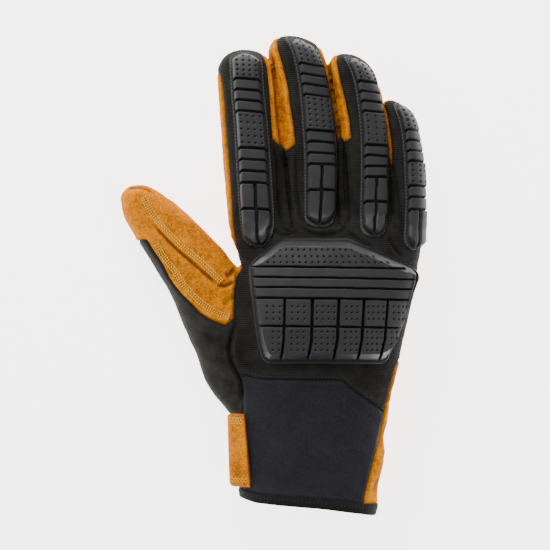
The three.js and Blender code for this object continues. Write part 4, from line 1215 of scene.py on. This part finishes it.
def moulded_sheet(name, base, normal, height, hollow, nodes, under=None):
    """A closed moulded piece: a grid with odd sides raised over its base, a coarser underside and the rim."""
    top = base + normal * height[..., None]
    if under is None:
        under = base - normal * 0.4 * MM
    under = under[::2, ::2]
    fine = np.arange(height.size).reshape(height.shape)
    coarse = height.size + np.arange(under.size // 3).reshape(under.shape[:2])
    quads = np.concatenate([grid_quads(fine)[:, ::-1], grid_quads(coarse)])
    rim, low = grid_rim(fine), grid_rim(coarse)
    walls = np.stack([np.roll(rim, -2)[::2], np.roll(low, -1), low, rim[::2], rim[1::2]], 1)
    points = np.concatenate([top.reshape(-1, 3), under.reshape(-1, 3)])
    if looks_inward(points, quads):
        quads, walls = quads[:, ::-1], walls[:, ::-1]
    faces = quads.tolist() + walls.tolist()
    count = len(points) - height.size
    shadow = np.concatenate([hollow.ravel(), np.ones(count)])
    piece = add_object(name, points, faces, material("rubber"), attributes={"hollow": shadow})
    return settle(piece, "guard_rubber", *nodes)


def note_stitches(base, normal, height):
    """Keeps the line of a flange's stitches, up one side, round the tip and down the other."""
    within = slice(STITCH_INSET, -STITCH_INSET)
    points = (base + normal * (height[..., None] + 0.1 * MM))[within, within]
    ring = np.concatenate([points[:, 0][::-1], points[0, 1:-1], points[:, -1]])
    SHARED.setdefault("flange_lines", []).append(ring)


def chamfered(inside, width, step):
    """Rise of a moulded body from 0 outside to 1 well inside: a steep step, then a flat slope."""
    return np.clip(inside / (0.3 * MM), 0, 1) * (step + (1 - step) * np.clip(inside / width, 0, 1))


def pit_depth(away):
    """Share of a hole's depth at a distance from its middle, both in hole radii."""
    return 1 - np.clip((away - 0.6) / 0.55, 0, 1)


def grid_smoothed(values, rounds):
    """A grid of points averaged with its neighbours, its border kept along itself."""
    for _ in range(rounds):
        padded = np.pad(values, ((1, 1), (1, 1), (0, 0)), mode="reflect", reflect_type="odd")
        values = (padded[:-2, 1:-1] + padded[2:, 1:-1] + padded[1:-1, :-2] + padded[1:-1, 2:]
                  + 4 * padded[1:-1, 1:-1]) / 8
    return values


def grid_normals(base, up):
    """Unit normals of a grid of points, on the side of a direction."""
    along = np.gradient(base, axis=0)
    across = np.gradient(base, axis=1)
    normal = np.cross(across, along)
    normal /= np.maximum(np.linalg.norm(normal, axis=-1, keepdims=True), 1e-12)
    return normal * np.where((normal * up).sum(-1, keepdims=True) < 0, -1, 1)


def finger_frame(name, rows):
    """Centre, direction across, half sizes and roll of a finger at photo rows."""
    middle, half_wide, depth, roll, lean = finger_columns(name, rows)
    half, height = half_and_height(depth * PALM_DEPTH)
    past = np.clip((FINGERS[name][-1][0] + TIP_ROUND - rows) / TIP_ROUND, 0, 0.97)
    dome = (1 - past**FINGER_POWER) ** (1 / FINGER_POWER)
    centre = np.stack([*spot(middle, rows), height], -1)
    side = np.stack([np.cos(lean), -np.sin(lean), np.zeros_like(lean)], -1)
    return centre, side, half_wide * PIXEL * dome, half * dome, np.radians(roll)


class GLOVE_OT_finger_guards(bpy.types.Operator):
    """Builds the moulded guards on the fingers' backs."""

    bl_idname = "glove.finger_guards"
    bl_label = "Finger guards"

    def execute(self, context):
        sizes = context.scene.glove_sizes
        for name, guard in GUARDS.items():
            self.build(name, guard, sizes)
        return {"FINISHED"}

    def build(self, name, guard, sizes):
        """One guard: a chamfered body with grooves and holes, on a thin flange laid on the finger."""
        start, end = guard["span"]
        length = (end - start) * PIXEL
        count = int(length / sizes.guard_step) // 2 * 2 + 1
        share = np.linspace(0, 1, count)
        v = share * length
        half_pad = np.interp(share, [0.08, 0.5, 1], guard["pads"]) / 2 * PIXEL
        full = half_pad + FLANGE_WIDE * PIXEL
        tip = self.taper(v, FLANGE_TIP * PIXEL, 2.2)
        left, right = (full * tip * self.taper(length - v, (foot + FLANGE_FOOT) * PIXEL, power)
                       for foot, power in zip(guard["foot"], self.foot_powers(guard)))
        columns = int(2 * full.max() / sizes.guard_step) // 2 * 2 + 1
        across = np.linspace(-1, 1, columns)[None, :]
        u = np.where(across < 0, across * left[:, None], across * right[:, None])
        base, normal = self.seat(name, start + (end - start) * share, share, u)
        v = v[:, None] + 0 * u
        edge = np.where(u < 0, left[:, None], right[:, None]) - np.abs(u)
        edge = np.minimum(edge, np.minimum(v, length - v))
        height, shadow, inside = self.relief(guard, u, v, half_pad[:, None], length, edge, sizes.hole_depth)
        # Painted shade over the flange, darkest on the little finger's far side
        far_side = (u > 0) & (name == "little")
        shadow = np.maximum(shadow, np.where(inside < 0, np.where(far_side, 0.95, 0.5), 0))
        moulded_sheet(f"finger_guard_{name}_rubber", base, normal, height, shadow, (f"finger_guard_{name}",))
        note_stitches(base, normal, height)

    def foot_powers(self, guard):
        """How round the left and right end corners are: one that draws back far is straighter."""
        return [1.5 if foot > 15 else 2.4 for foot in guard["foot"]]

    def relief(self, guard, u, v, half_pad, length, edge, hole_depth):
        """Height over the finger, shadow in the hollows and distance inside the body, at each place."""
        side = np.clip(np.abs(u) / half_pad, 0, 1)
        foot = np.where(u < 0, *guard["foot"]) * PIXEL * side ** np.where(u < 0, *self.foot_powers(guard))
        inside = np.minimum(half_pad - np.abs(u), v - 0.01 * length - TIP_CORNERS * PIXEL * side ** 2.2)
        inside = np.minimum(inside, 0.985 * length - foot - v)
        bend = 0.9 * np.clip(CHAMFER - (half_pad - np.abs(u)), 0, CHAMFER)
        tall, groove, hollow = self.pattern(guard, u, v, v - bend, half_pad, length)
        early = 0.45 + 0.55 * np.clip(v / (TIP_RISE * PIXEL), 0, 1) ** 0.7
        height = FLANGE_HEIGHT + (tall * early - FLANGE_HEIGHT) * chamfered(inside, CHAMFER, 0.5)
        cut = np.clip((groove - GROOVE_HALF) / (0.22 * MM) + 1, 0, 1)
        floor = FLANGE_HEIGHT * 1.1
        height = floor + (height - floor) * np.where(inside > 0, 0.06 + 0.94 * cut, 1)
        height = height - hole_depth * hollow * (inside > 1.2 * MM)
        height *= 0.3 + 0.7 * np.clip(edge / (0.5 * MM), 0, 1)
        height += 0.25 * MM * bell(edge - 0.55 * MM, 0.28 * MM)
        shadow = np.maximum(hollow, np.where(inside > 0, 1 - cut, 0))
        return height, np.maximum(shadow, bell(inside + 0.1 * MM, 0.5 * MM)), inside

    def pattern(self, guard, u, v, bent, half_pad, length):
        """Height, distance to the nearest groove and depth of the holes at each place of a guard."""
        holed = iter(guard["holes"][1:])
        tall = np.full(u.shape, PAD_HEIGHT)
        groove = np.full(u.shape, 1e9)
        hollow = np.zeros(u.shape)
        for first, last, kind in PATTERNS[guard["style"]]:
            low, high = first * length, last * length
            within = (bent >= low) & (bent < high)
            if kind == "rib":
                tall[within] = RIB_HEIGHT
            if last < 0.97:
                groove = np.minimum(groove, np.abs(bent - high))
            if kind == "split":
                lean = (v - low) * 0.02
                groove = np.where(within, np.minimum(groove, np.abs(u + lean)), groove)
            if kind == "holes":
                pits = self.pits(u, v, half_pad, low, high, guard["holes"][0], next(holed))
                hollow = np.maximum(hollow, pits)
        return tall, groove, hollow

    def taper(self, past, reach, power):
        """Share of the width left where an end is rounded over a length."""
        return (1 - np.clip(1 - past / reach, 0, 0.97) ** power) ** (1 / power)

    def pits(self, u, v, half_pad, low, high, count, rows):
        """How deep each place lies in a hole of a perforated field, from 0 to 1."""
        pitch = (high - low - 1.6 * MM) / rows
        row = np.clip(np.floor((v - low - 0.8 * MM) / pitch), 0, rows - 1)
        gap = 2 * half_pad * 0.84 / count
        column = np.clip(np.floor((u + gap * count / 2) / gap), 0, count - 1)
        away = np.hypot(v - low - 0.8 * MM - (row + 0.5) * pitch, u + gap * count / 2 - (column + 0.5) * gap)
        return pit_depth(away / (HOLE_RADIUS * PIXEL))

    def seat(self, name, rows, share, u):
        """Places and normals on the finger below a guard's grid."""
        centre, side, half_wide, half_deep, roll = finger_frame(name, rows)
        radius = (half_wide + half_deep) / 2
        angle = math.pi / 2 - roll[:, None] - u / np.maximum(radius, 8 * MM)[:, None]
        c, s = np.cos(angle), np.sin(angle)
        scale = (np.abs(c) ** FINGER_POWER + np.abs(s) ** FINGER_POWER) ** (-1 / FINGER_POWER)
        local = (side[:, None, :] * (half_wide[:, None] * c * scale)[..., None]
                 + np.array([0, 0, 1.0]) * (half_deep[:, None] * s * scale)[..., None])
        base = centre[:, None, :] + local
        steep = name == "little"
        trust = np.interp(share, *GUARD_TRUST) * MM
        for i in np.flatnonzero(trust > 0):
            for j in range(base.shape[1]):
                place = Vector(base[i, j])
                way = -Vector(local[i, j]).normalized() if steep else Vector((0, 0, -1))
                hit = SHARED["tree"].ray_cast(place - way * 10 * MM, way)[0]
                if hit is not None and (hit - place).length < trust[i]:
                    base[i, j] = hit
        base = grid_smoothed(base, 14)
        normal = grid_normals(base, local)
        near_tip = np.clip(1 - share / 0.16, 0, 1)[:, None] * 0.75
        normal[..., 1] *= 1 - near_tip
        normal = grid_smoothed(normal, 10)
        return base, normal / np.linalg.norm(normal, axis=-1, keepdims=True)


class GLOVE_OT_knuckle_guard(bpy.types.Operator):
    """Builds the large moulded guard over the knuckles."""

    bl_idname = "glove.knuckle_guard"
    bl_label = "Knuckle guard"

    def execute(self, context):
        sizes = context.scene.glove_sizes
        px, py, right, edge = self.grid(sizes.guard_step * 1.08)
        places = np.stack(spot(px, py), -1)
        base, normal, under = self.seat(places * KNUCKLE_NEARER)
        height, shadow = self.relief(px, py, *np.moveaxis(places, -1, 0), right, edge, sizes.hole_depth)
        moulded_sheet("knuckle_guard_rubber", base, normal, height, shadow, ("knuckle_guard",), under)
        return {"FINISHED"}

    def grid(self, step):
        """Photo columns and rows over the guard, its right ends and each place's distance to its edge."""
        top, bottom = KNUCKLE_EDGES[0][0], KNUCKLE_EDGES[-1][0]
        rows = np.linspace(top, bottom, int((bottom - top) * PIXEL / step) // 2 * 2 + 1)
        left, right = (ends[:, None] for ends in smooth_columns(KNUCKLE_EDGES, rows))
        columns = int((right - left).max() * PIXEL / step) // 2 * 2 + 1
        px = left + (right - left) * np.linspace(0, 1, columns)[None, :]
        py = rows[:, None] + 0 * px
        edge = np.minimum(np.minimum(px - left, right - px), np.minimum(py - top, bottom - py)) * PIXEL
        return px, py, right, edge

    def seat(self, places):
        """The guard's base laid on the knuckles, its normals and its underside."""
        ground = np.array([[drop(*place)[0].z for place in row] for row in places])
        level = np.maximum(ground, ground.max(1, keepdims=True) - KNUCKLE_FALL)
        level = grid_smoothed(level[..., None], 60)
        base = np.concatenate([places, level], -1)
        normal = grid_smoothed(grid_normals(base, np.array([0, 0, 1.0])), 40) * (0.25, 0.1, 1)
        normal /= np.linalg.norm(normal, axis=-1, keepdims=True)
        low = np.clip(ground, level[..., 0] - 6 * MM, level[..., 0]) - 0.4 * MM
        return base, normal, np.concatenate([places, low[..., None]], -1)

    def chamfer_width(self, px, py, right):
        """How wide the chamfer is: narrower on the thumb side, steep on the little finger's side."""
        between = np.minimum(py - KNUCKLE_STEEP[0], KNUCKLE_STEEP[1] - py)
        steep = np.clip((13 - right + px) / 4, 0, 1) * np.clip(between / 5, 0, 1)
        kept = np.interp(py, *KNUCKLE_KEPT)
        width = KNUCKLE_CHAMFER * np.interp(px, *KNUCKLE_WIDEN)
        return (KNUCKLE_CHAMFER * kept * 0.8 + width * (1 - kept * 0.8)) * (1 - 0.85 * steep)

    def relief(self, px, py, x, y, right, edge, hole_depth):
        """Height over the base, and painted shade in the hollows with less than nothing for painted highlight
        on bevels.
        """
        inside = -outline_distance(KNUCKLE_BODY, x, y)
        width = self.chamfer_width(px, py, right)
        height = FLANGE_HEIGHT + (KNUCKLE_HEIGHT - FLANGE_HEIGHT) * chamfered(inside, width, 0.32)
        cut = np.ones(x.shape)
        for line, half in KNUCKLE_GROOVES:
            away, _ = line_distance(line, x, y)
            cut = np.minimum(cut, np.clip((away - half * PIXEL) / (0.25 * MM) + 1, 0, 1))
        floor = FLANGE_HEIGHT + 0.3 * (height - FLANGE_HEIGHT)
        height = np.where(inside > 0, floor + (height - floor) * cut, height)
        pits = self.pits(px, py)
        height = height - hole_depth * pits
        height *= 0.3 + 0.7 * np.clip(edge / (0.6 * MM), 0, 1)
        height += 0.3 * MM * bell(edge - 0.7 * MM, 0.3 * MM)
        shadow = np.maximum(pits, bell(inside + 0.25 * MM, 0.65 * MM))
        shadow = np.maximum(shadow, np.where(inside > 0, 1 - cut, 0))
        # Painted highlight on the bevels of the top and bottom rows, painted shade over the perforated top
        # and bars
        bevel = (shadow < 0.05) & (inside > 0.3 * MM) & (inside < width)
        bevel &= (py < KNUCKLE_HIGHLIGHT_ROWS[0]) | (py > KNUCKLE_HIGHLIGHT_ROWS[1])
        dusk = np.interp(py, *KNUCKLE_DUSK) * (inside > 0)
        return height, np.where(bevel, -0.55, np.maximum(shadow, dusk))

    def pits(self, px, py):
        """How deep each place lies in a hole, from 0 to 1."""
        deep = np.zeros(px.shape)
        for rows, runs in KNUCKLE_HOLES:
            for row in rows:
                for first, last, count in runs:
                    for column in np.linspace(first, last, count):
                        near = (np.abs(px - column) < 3) & (np.abs(py - row) < 3)
                        away = np.hypot(px[near] - column, py[near] - row)
                        deep[near] = np.maximum(deep[near], pit_depth(away / HOLE_RADIUS))
        return deep


class GLOVE_OT_hem(bpy.types.Operator):
    """Builds the binding round the mouth of the cuff."""

    bl_idname = "glove.hem"
    bl_label = "Hem binding"

    def execute(self, context):
        points = np.array([self.place(i, down, out * PIXEL) for i in range(HEM_AROUND)
                           for down, out in HEM_SECTION])
        faces = ring_faces(HEM_AROUND, len(HEM_SECTION), closed=True)
        if looks_inward(points, faces):
            faces = faces[:, ::-1]
        settle(add_object("hem_binding_tape", points, faces, material("binding")), "binding", "hem_binding")
        SHARED["hem_lines"] = [np.array([self.place(i, down, 1.45 * PIXEL) for i in range(HEM_AROUND)])
                               for down in HEM_STITCHES]
        return {"FINISHED"}

    def place(self, step, down, out):
        """A point of the binding: steps round the hand, pixels below the hem's line, metres out."""
        angle = 2 * math.pi * step / HEM_AROUND
        c, s = math.cos(angle), math.sin(angle)
        x = HEM_MIDDLE
        for _ in range(3):
            wider = np.interp(column_of(x), *HEM_WIDER)
            y = hem_line(np.array(x)) - (down * wider - HEM_OVERLAP) * PIXEL
            left, right, depth = smooth_columns(HAND_ROWS, np.array(row_of(y)))
            half, height = half_and_height(depth * PALM_DEPTH)
            half_wide = (right - left) / 2 * PIXEL + out
            x = ((left + right) / 2 - CENTRE[0]) * PIXEL + half_wide * math.copysign(abs(c) ** HEM_POWER, c)
        z = height + (half + out) * math.copysign(abs(s) ** HEM_POWER, s)
        floor = 0.0 if out > 0 else WALL
        return (float(x), float(y), float(max(z, floor)))


class GLOVE_OT_tab(bpy.types.Operator):
    """Builds the leather pull tab on the thumb side of the wrist."""

    bl_idname = "glove.tab"
    bl_label = "Pull tab"

    def execute(self, context):
        rows, columns = TAB_GRID
        top = np.zeros((rows, columns, 3))
        for i in range(rows):
            share = i / (rows - 1)
            first, last = TAB_OUTLINE["rows"]
            row = first + (last - first) * share
            left = np.interp(share, [0, 1], TAB_OUTLINE["left"])
            right = np.interp(share, [0, 1], TAB_OUTLINE["right"])
            bow = TAB_BOW * math.sin(math.pi * share) ** 1.5
            past = max(0, 1 - min(share, 1 - share) / 0.06)
            left += 4 * (1 - math.sqrt(1 - past**2 * 0.98))
            for j in range(columns):
                u = j / (columns - 1)
                x, y = spot(left + (right - left) * u, row)
                seam = spot(right, row)[0]
                fall = (seam - x) * TAB_SLOPE * (1 - 0.15 * u)
                curl = TAB_CURL * max(0, 1 - u / 0.22) ** 2
                top[i, j] = (x, y, drop(seam, y)[0].z + TAB_LIFT - fall + bow * 0.8 - curl)
        normal = grid_normals(top, np.array([0, 0, 1.0]))
        under = top - normal * TAB_THICK
        number = np.arange(rows * columns).reshape(rows, columns)
        quads = grid_quads(number)
        rim = grid_rim(number)
        after = np.roll(rim, -1)
        count = rows * columns
        walls = np.stack([rim, rim + count, after + count, after], 1)
        points = np.concatenate([top.reshape(-1, 3), under.reshape(-1, 3)])
        faces = np.concatenate([quads[:, ::-1], quads + count, walls[:, ::-1]])
        if looks_inward(points, faces):
            faces = faces[:, ::-1]
        shadow = np.concatenate([np.full(count, 0.15), np.ones(count)])
        piece = add_object("pull_tab_leather", points, faces, material("suede"), {"hollow": shadow})
        bevel = piece.modifiers.new("Rounded edges", "BEVEL")
        bevel.width = 0.4 * MM
        bevel.segments = 2
        settle(piece, "suede", "pull_tab")
        SHARED["tab"] = (top, normal)
        return {"FINISHED"}


class GLOVE_OT_welts(bpy.types.Operator):
    """Builds the folds of knit in the valleys between the fingers."""

    bl_idname = "glove.welts"
    bl_label = "Finger welts"

    def execute(self, context):
        for name, (*line, width) in WELTS.items():
            path = resampled(line, WELT_STEPS)
            rings = []
            for i, (x, y) in enumerate(path):
                share = i / (len(path) - 1)
                end = min(1, (1 - share) / 0.07, (share + 0.1) / 0.16)
                full = max(0.05, math.sin(math.pi / 2 * end))
                half = width * PIXEL * full * (0.75 + 0.25 * share)
                beside = [drop(x + side * (half + 0.6 * MM), y)[0].z for side in (-1, 1)]
                height = min(beside) - half * 0.5 + 1.3 * MM * full
                for k in range(WELT_SIDES):
                    angle = 2 * math.pi * k / WELT_SIDES
                    rings.append((x + half * math.cos(angle), y, height + half * 0.9 * math.sin(angle)))
            walls = ring_faces(len(path), WELT_SIDES)[:, [0, 3, 2, 1]]
            last = (len(path) - 1) * WELT_SIDES
            ends = [tuple(range(WELT_SIDES - 1, -1, -1)), tuple(range(last, last + WELT_SIDES))]
            piece = add_object(f"welt_{name}_knit", np.array(rings), walls.tolist() + ends, material("knit"))
            settle(piece, "knit", f"welt_{name}")
        return {"FINISHED"}


def stitch_tree():
    """Geometry nodes that lay a stitch along every edge of a mesh."""
    tree = bpy.data.node_groups.new("Stitches", "GeometryNodeTree")
    face = tree.interface
    face.new_socket("Geometry", in_out="INPUT", socket_type="NodeSocketGeometry")
    for name, default in (("Thickness", 0.42 * MM), ("Fill", 1.0)):
        socket = face.new_socket(name, in_out="INPUT", socket_type="NodeSocketFloat")
        socket.default_value = default
    face.new_socket("Material", in_out="INPUT", socket_type="NodeSocketMaterial")
    face.new_socket("Geometry", in_out="OUTPUT", socket_type="NodeSocketGeometry")
    made = {}
    for name, kind, settings in (
            ("given", "NodeGroupInput", {}),
            ("result", "NodeGroupOutput", {}),
            ("ends", "GeometryNodeInputMeshEdgeVertices", {}),
            ("way", "ShaderNodeVectorMath", {"operation": "SUBTRACT"}),
            ("keep", "GeometryNodeCaptureAttribute", {"domain": "EDGE"}),
            ("middles", "GeometryNodeMeshToPoints", {"mode": "EDGES"}),
            ("turn", "FunctionNodeAlignRotationToVector", {"axis": "Z"}),
            ("long", "ShaderNodeVectorMath", {"operation": "LENGTH"}),
            ("filled", "ShaderNodeMath", {"operation": "MULTIPLY"}),
            ("bead", "GeometryNodeMeshUVSphere", {}),
            ("size", "ShaderNodeCombineXYZ", {}),
            ("lay", "GeometryNodeInstanceOnPoints", {}),
            ("real", "GeometryNodeRealizeInstances", {}),
            ("smooth", "GeometryNodeSetShadeSmooth", {}),
            ("coat", "GeometryNodeSetMaterial", {})):
        made[name] = tree.nodes.new(kind)
        for key, value in settings.items():
            setattr(made[name], key, value)
    made["keep"].capture_items.new("VECTOR", "Way")
    for key, value in (("Segments", 6), ("Rings", 6), ("Radius", 0.5)):
        made["bead"].inputs[key].default_value = value
    for source, output, target, entry in (
            ("ends", "Position 2", "way", 0), ("ends", "Position 1", "way", 1),
            ("given", "Geometry", "keep", "Geometry"), ("way", 0, "keep", "Way"),
            ("keep", "Geometry", "middles", "Mesh"), ("keep", "Way", "turn", "Vector"),
            ("keep", "Way", "long", 0), ("long", "Value", "filled", 0), ("given", "Fill", "filled", 1),
            ("given", "Thickness", "size", "X"), ("given", "Thickness", "size", "Y"),
            ("filled", 0, "size", "Z"), ("middles", "Points", "lay", "Points"),
            ("bead", "Mesh", "lay", "Instance"),
            ("turn", "Rotation", "lay", "Rotation"), ("size", 0, "lay", "Scale"),
            ("lay", "Instances", "real", "Geometry"), ("real", "Geometry", "smooth", "Geometry"),
            ("smooth", "Geometry", "coat", "Geometry"), ("given", "Material", "coat", "Material"),
            ("coat", "Geometry", "result", "Geometry")):
        tree.links.new(made[source].outputs[output], made[target].inputs[entry])
    return tree


def sew(name, stitches, thread, thickness, fill=1.0):
    """A piece of stitches, each given by its two ends in metres."""
    points = [tuple(map(float, end)) for stitch in stitches for end in stitch]
    mesh = bpy.data.meshes.new(name + "_lines")
    mesh.from_pydata(points, [(i, i + 1) for i in range(0, len(points), 2)], [])
    guide = link_object(name + "_lines", mesh)
    if "stitches" not in SHARED:
        SHARED["stitches"] = stitch_tree()
    tree = SHARED["stitches"]
    modifier = guide.modifiers.new("Stitches", "NODES")
    modifier.node_group = tree
    values = {"Thickness": thickness, "Fill": fill, "Material": material(thread)}
    for item in tree.interface.items_tree:
        if item.in_out == "INPUT" and item.name in values:
            modifier[item.identifier] = values[item.name]
    graph = bpy.context.evaluated_depsgraph_get()
    made = bpy.data.meshes.new_from_object(guide.evaluated_get(graph))
    guide.modifiers.remove(modifier)
    bpy.data.objects.remove(guide)
    made.name = name
    return settle(link_object(name, made), "thread")


def walk(line, pitch):
    """Points at a pitch along a line of pixel places, and the directions across it, in metres."""
    length = np.hypot(*np.diff(spots(line), axis=0).T).sum()
    flat = resampled(line, max(3, round(length / pitch) + 1))
    way = np.gradient(flat, axis=0)
    way /= np.maximum(np.linalg.norm(way, axis=1, keepdims=True), 1e-9)
    return flat, np.stack([-way[:, 1], way[:, 0]], 1)


def lifted(place, lift, tree):
    """A flat place dropped onto a surface and lifted a little."""
    point, normal = drop(place[0], place[1], tree)
    return np.array(point + normal * lift)


def straight_row(line, pitch, lift, tree, fill=0.72):
    """Plain stitches in a row along a line of pixel places."""
    flat, _ = walk(line, pitch)
    laid = [lifted(place, lift, tree) for place in flat]
    return [(a, a + (b - a) * fill) for a, b in zip(laid, laid[1:])]


def slanted_row(line, pitch, wide, shift, lift, tree, chance):
    """Short stitches in a row, each slanted across it, and dark beads of painted shade for the holes between
    them.
    """
    flat, across = walk(line, pitch)
    stitches, holes = [], []
    for i in range(len(flat) - 1):
        sway = chance.uniform(-0.1, 0.1, 2) * wide
        step = flat[i + 1] - flat[i]
        first = flat[i] + across[i] * (shift + wide / 2 + sway[0])
        last = flat[i] + step * 0.85 + across[i] * (shift - wide / 2 + sway[1])
        stitches.append((lifted(first, lift, tree), lifted(last, lift, tree)))
        hole = lifted(flat[i] + step * 0.95 + across[i] * (shift + wide * 0.1), 0, tree)
        holes.append((hole, hole + np.array([*step, 0]) * 0.42))
    return stitches, holes


class GLOVE_OT_stitches(bpy.types.Operator):
    """Sews the visible seams."""

    bl_idname = "glove.stitches"
    bl_label = "Stitches"

    def execute(self, context):
        pitch = context.scene.glove_sizes.stitch_pitch
        chance = np.random.RandomState(7)
        pale, holes = [], []
        for band in THUMB_BANDS:
            for shift in THUMB_ROWS:
                laid = slanted_row(band, pitch * 0.62, 1.7 * PIXEL, shift * PIXEL, 0.2 * MM, "thumb_leather",
                                   chance)
                pale += laid[0]
                holes += laid[1]
        sew("thumb_stitches", pale, "thread", THREAD_WIDE["thumb"], 0.9)
        # Dark beads between the stitches: painted shade in the needle holes
        sew("thumb_holes", holes, "hole_thread", THREAD_WIDE["holes"])
        dark = straight_row(CUFF_STITCHES, pitch, 0.1 * MM, "back_panel")
        sew("cuff_stitches", dark, "dark_thread", THREAD_WIDE["cuff"])
        grey = self.rows_along(SHARED["flange_lines"], pitch * 0.9, 0.6)
        sew("guard_stitches", grey, "grey_thread", THREAD_WIDE["guards"])
        hem = self.rows_along(SHARED["hem_lines"], pitch, 0.7)
        sew("hem_stitches", hem, "dark_thread", THREAD_WIDE["hem"])
        self.sew_tab(chance)
        return {"FINISHED"}

    def rows_along(self, lines, pitch, fill):
        """Plain stitches along lines given in metres."""
        rows = []
        for line in lines:
            steps = np.linalg.norm(np.diff(line, axis=0), axis=1)
            length = np.concatenate([[0], np.cumsum(steps)])
            at = np.arange(0, length[-1], pitch)
            even = np.stack([np.interp(at, length, line[:, k]) for k in range(3)], 1)
            rows += [(a, a + (b - a) * fill) for a, b in zip(even, even[1:])
                     if min(a[2], b[2]) > STITCH_LOWEST]
        return rows

    def sew_tab(self, chance):
        """The zigzags at the tab's two ends."""
        top, normal = SHARED["tab"]
        stitches = []
        for first, last, count in TAB_ZIGZAGS:
            for i in range(count - 1):
                ends = []
                for k in (i, i + 1):
                    row = (first if k % 2 else last) * (top.shape[0] - 1)
                    column = (0.08 + 0.84 * k / (count - 1)) * (top.shape[1] - 1)
                    place = top[int(row), int(column)] + chance.uniform(-0.08, 0.08, 3) * MM
                    ends.append(place + normal[int(row), int(column)] * 0.15 * MM)
                stitches.append(ends)
        sew("tab_stitches", stitches, "thread", THREAD_WIDE["tab"], 0.95)


class GLOVE_OT_stage(bpy.types.Operator):
    """Sets the pale floor, the soft lights and the camera above the glove."""

    bl_idname = "glove.stage"
    bl_label = "Stage"

    def execute(self, context):
        scene = context.scene
        mesh = bpy.data.meshes.new("Floor")
        corners = [(x * FLOOR_HALF, y * FLOOR_HALF, 0) for x, y in ((-1, -1), (1, -1), (1, 1), (-1, 1))]
        mesh.from_pydata(corners, [], [(0, 1, 2, 3)])
        mesh.materials.append(material("floor"))
        floor = link_object("Floor", mesh)
        floor.location.z = -FLOOR_BELOW
        world = bpy.data.worlds.new("Studio")
        world.use_nodes = True
        background = world.node_tree.nodes["Background"]
        background.inputs[0].default_value = (1, 1, 1, 1)
        background.inputs[1].default_value = WORLD_LIGHT
        scene.world = world
        for name, (place, size, power) in LIGHTS.items():
            self.add_light(name, place, size, power)
        self.add_camera(scene)
        return {"FINISHED"}

    def add_light(self, name, place, size, power):
        """A square soft light that faces the glove."""
        light = bpy.data.lights.new(name, "AREA")
        light.energy = power
        light.size = size
        lamp = link_object(name, light)
        lamp.location = place
        lamp.rotation_euler = (-Vector(place)).to_track_quat("-Z", "Y").to_euler()

    def add_camera(self, scene):
        """A long lens straight above the middle of the photo's frame."""
        data = bpy.data.cameras.new("Camera")
        data.sensor_width = CAMERA_SENSOR
        data.lens = data.sensor_width * CAMERA_AWAY / (PHOTO_SIDE * PIXEL)
        camera = link_object("Camera", data)
        x, y = spot(PHOTO_SIDE / 2, PHOTO_SIDE / 2)
        camera.location = (x, y, PALM_DEPTH * CAMERA_LEVEL + CAMERA_AWAY)
        scene.camera = camera


class GLOVE_PT_panel(bpy.types.Panel):
    """Lists the glove's parts, sizes and colours."""

    bl_idname = "GLOVE_PT_panel"
    bl_label = "Impact glove"
    bl_space_type = "VIEW_3D"
    bl_region_type = "UI"
    bl_category = "Glove"

    def draw(self, context):
        for group in (context.scene.glove_sizes, context.scene.glove_colours):
            for key in group.__annotations__:
                self.layout.prop(group, key)
        for operator in OPERATORS:
            self.layout.operator(operator.bl_idname)


OPERATORS = (GLOVE_OT_stage, GLOVE_OT_panels, GLOVE_OT_hem, GLOVE_OT_knuckle_guard, GLOVE_OT_finger_guards,
             GLOVE_OT_tab, GLOVE_OT_welts, GLOVE_OT_stitches)
CLASSES = (GloveSizes, GloveColours, *OPERATORS, GLOVE_PT_panel)


def register():
    """Makes the classes and the scene's settings known."""
    for each in CLASSES:
        bpy.utils.register_class(each)
    bpy.types.Scene.glove_sizes = PointerProperty(type=GloveSizes)
    bpy.types.Scene.glove_colours = PointerProperty(type=GloveColours)


def unregister():
    """Takes them away again."""
    del bpy.types.Scene.glove_colours
    del bpy.types.Scene.glove_sizes
    for each in reversed(CLASSES):
        bpy.utils.unregister_class(each)


def main():
    """Registers the settings and builds everything."""
    register()
    bpy.ops.glove.stage()
    bpy.ops.glove.panels()
    bpy.ops.glove.hem()
    bpy.ops.glove.knuckle_guard()
    bpy.ops.glove.finger_guards()
    bpy.ops.glove.tab()
    bpy.ops.glove.welts()
    bpy.ops.glove.stitches()


if __name__ == "__main__":
    main()
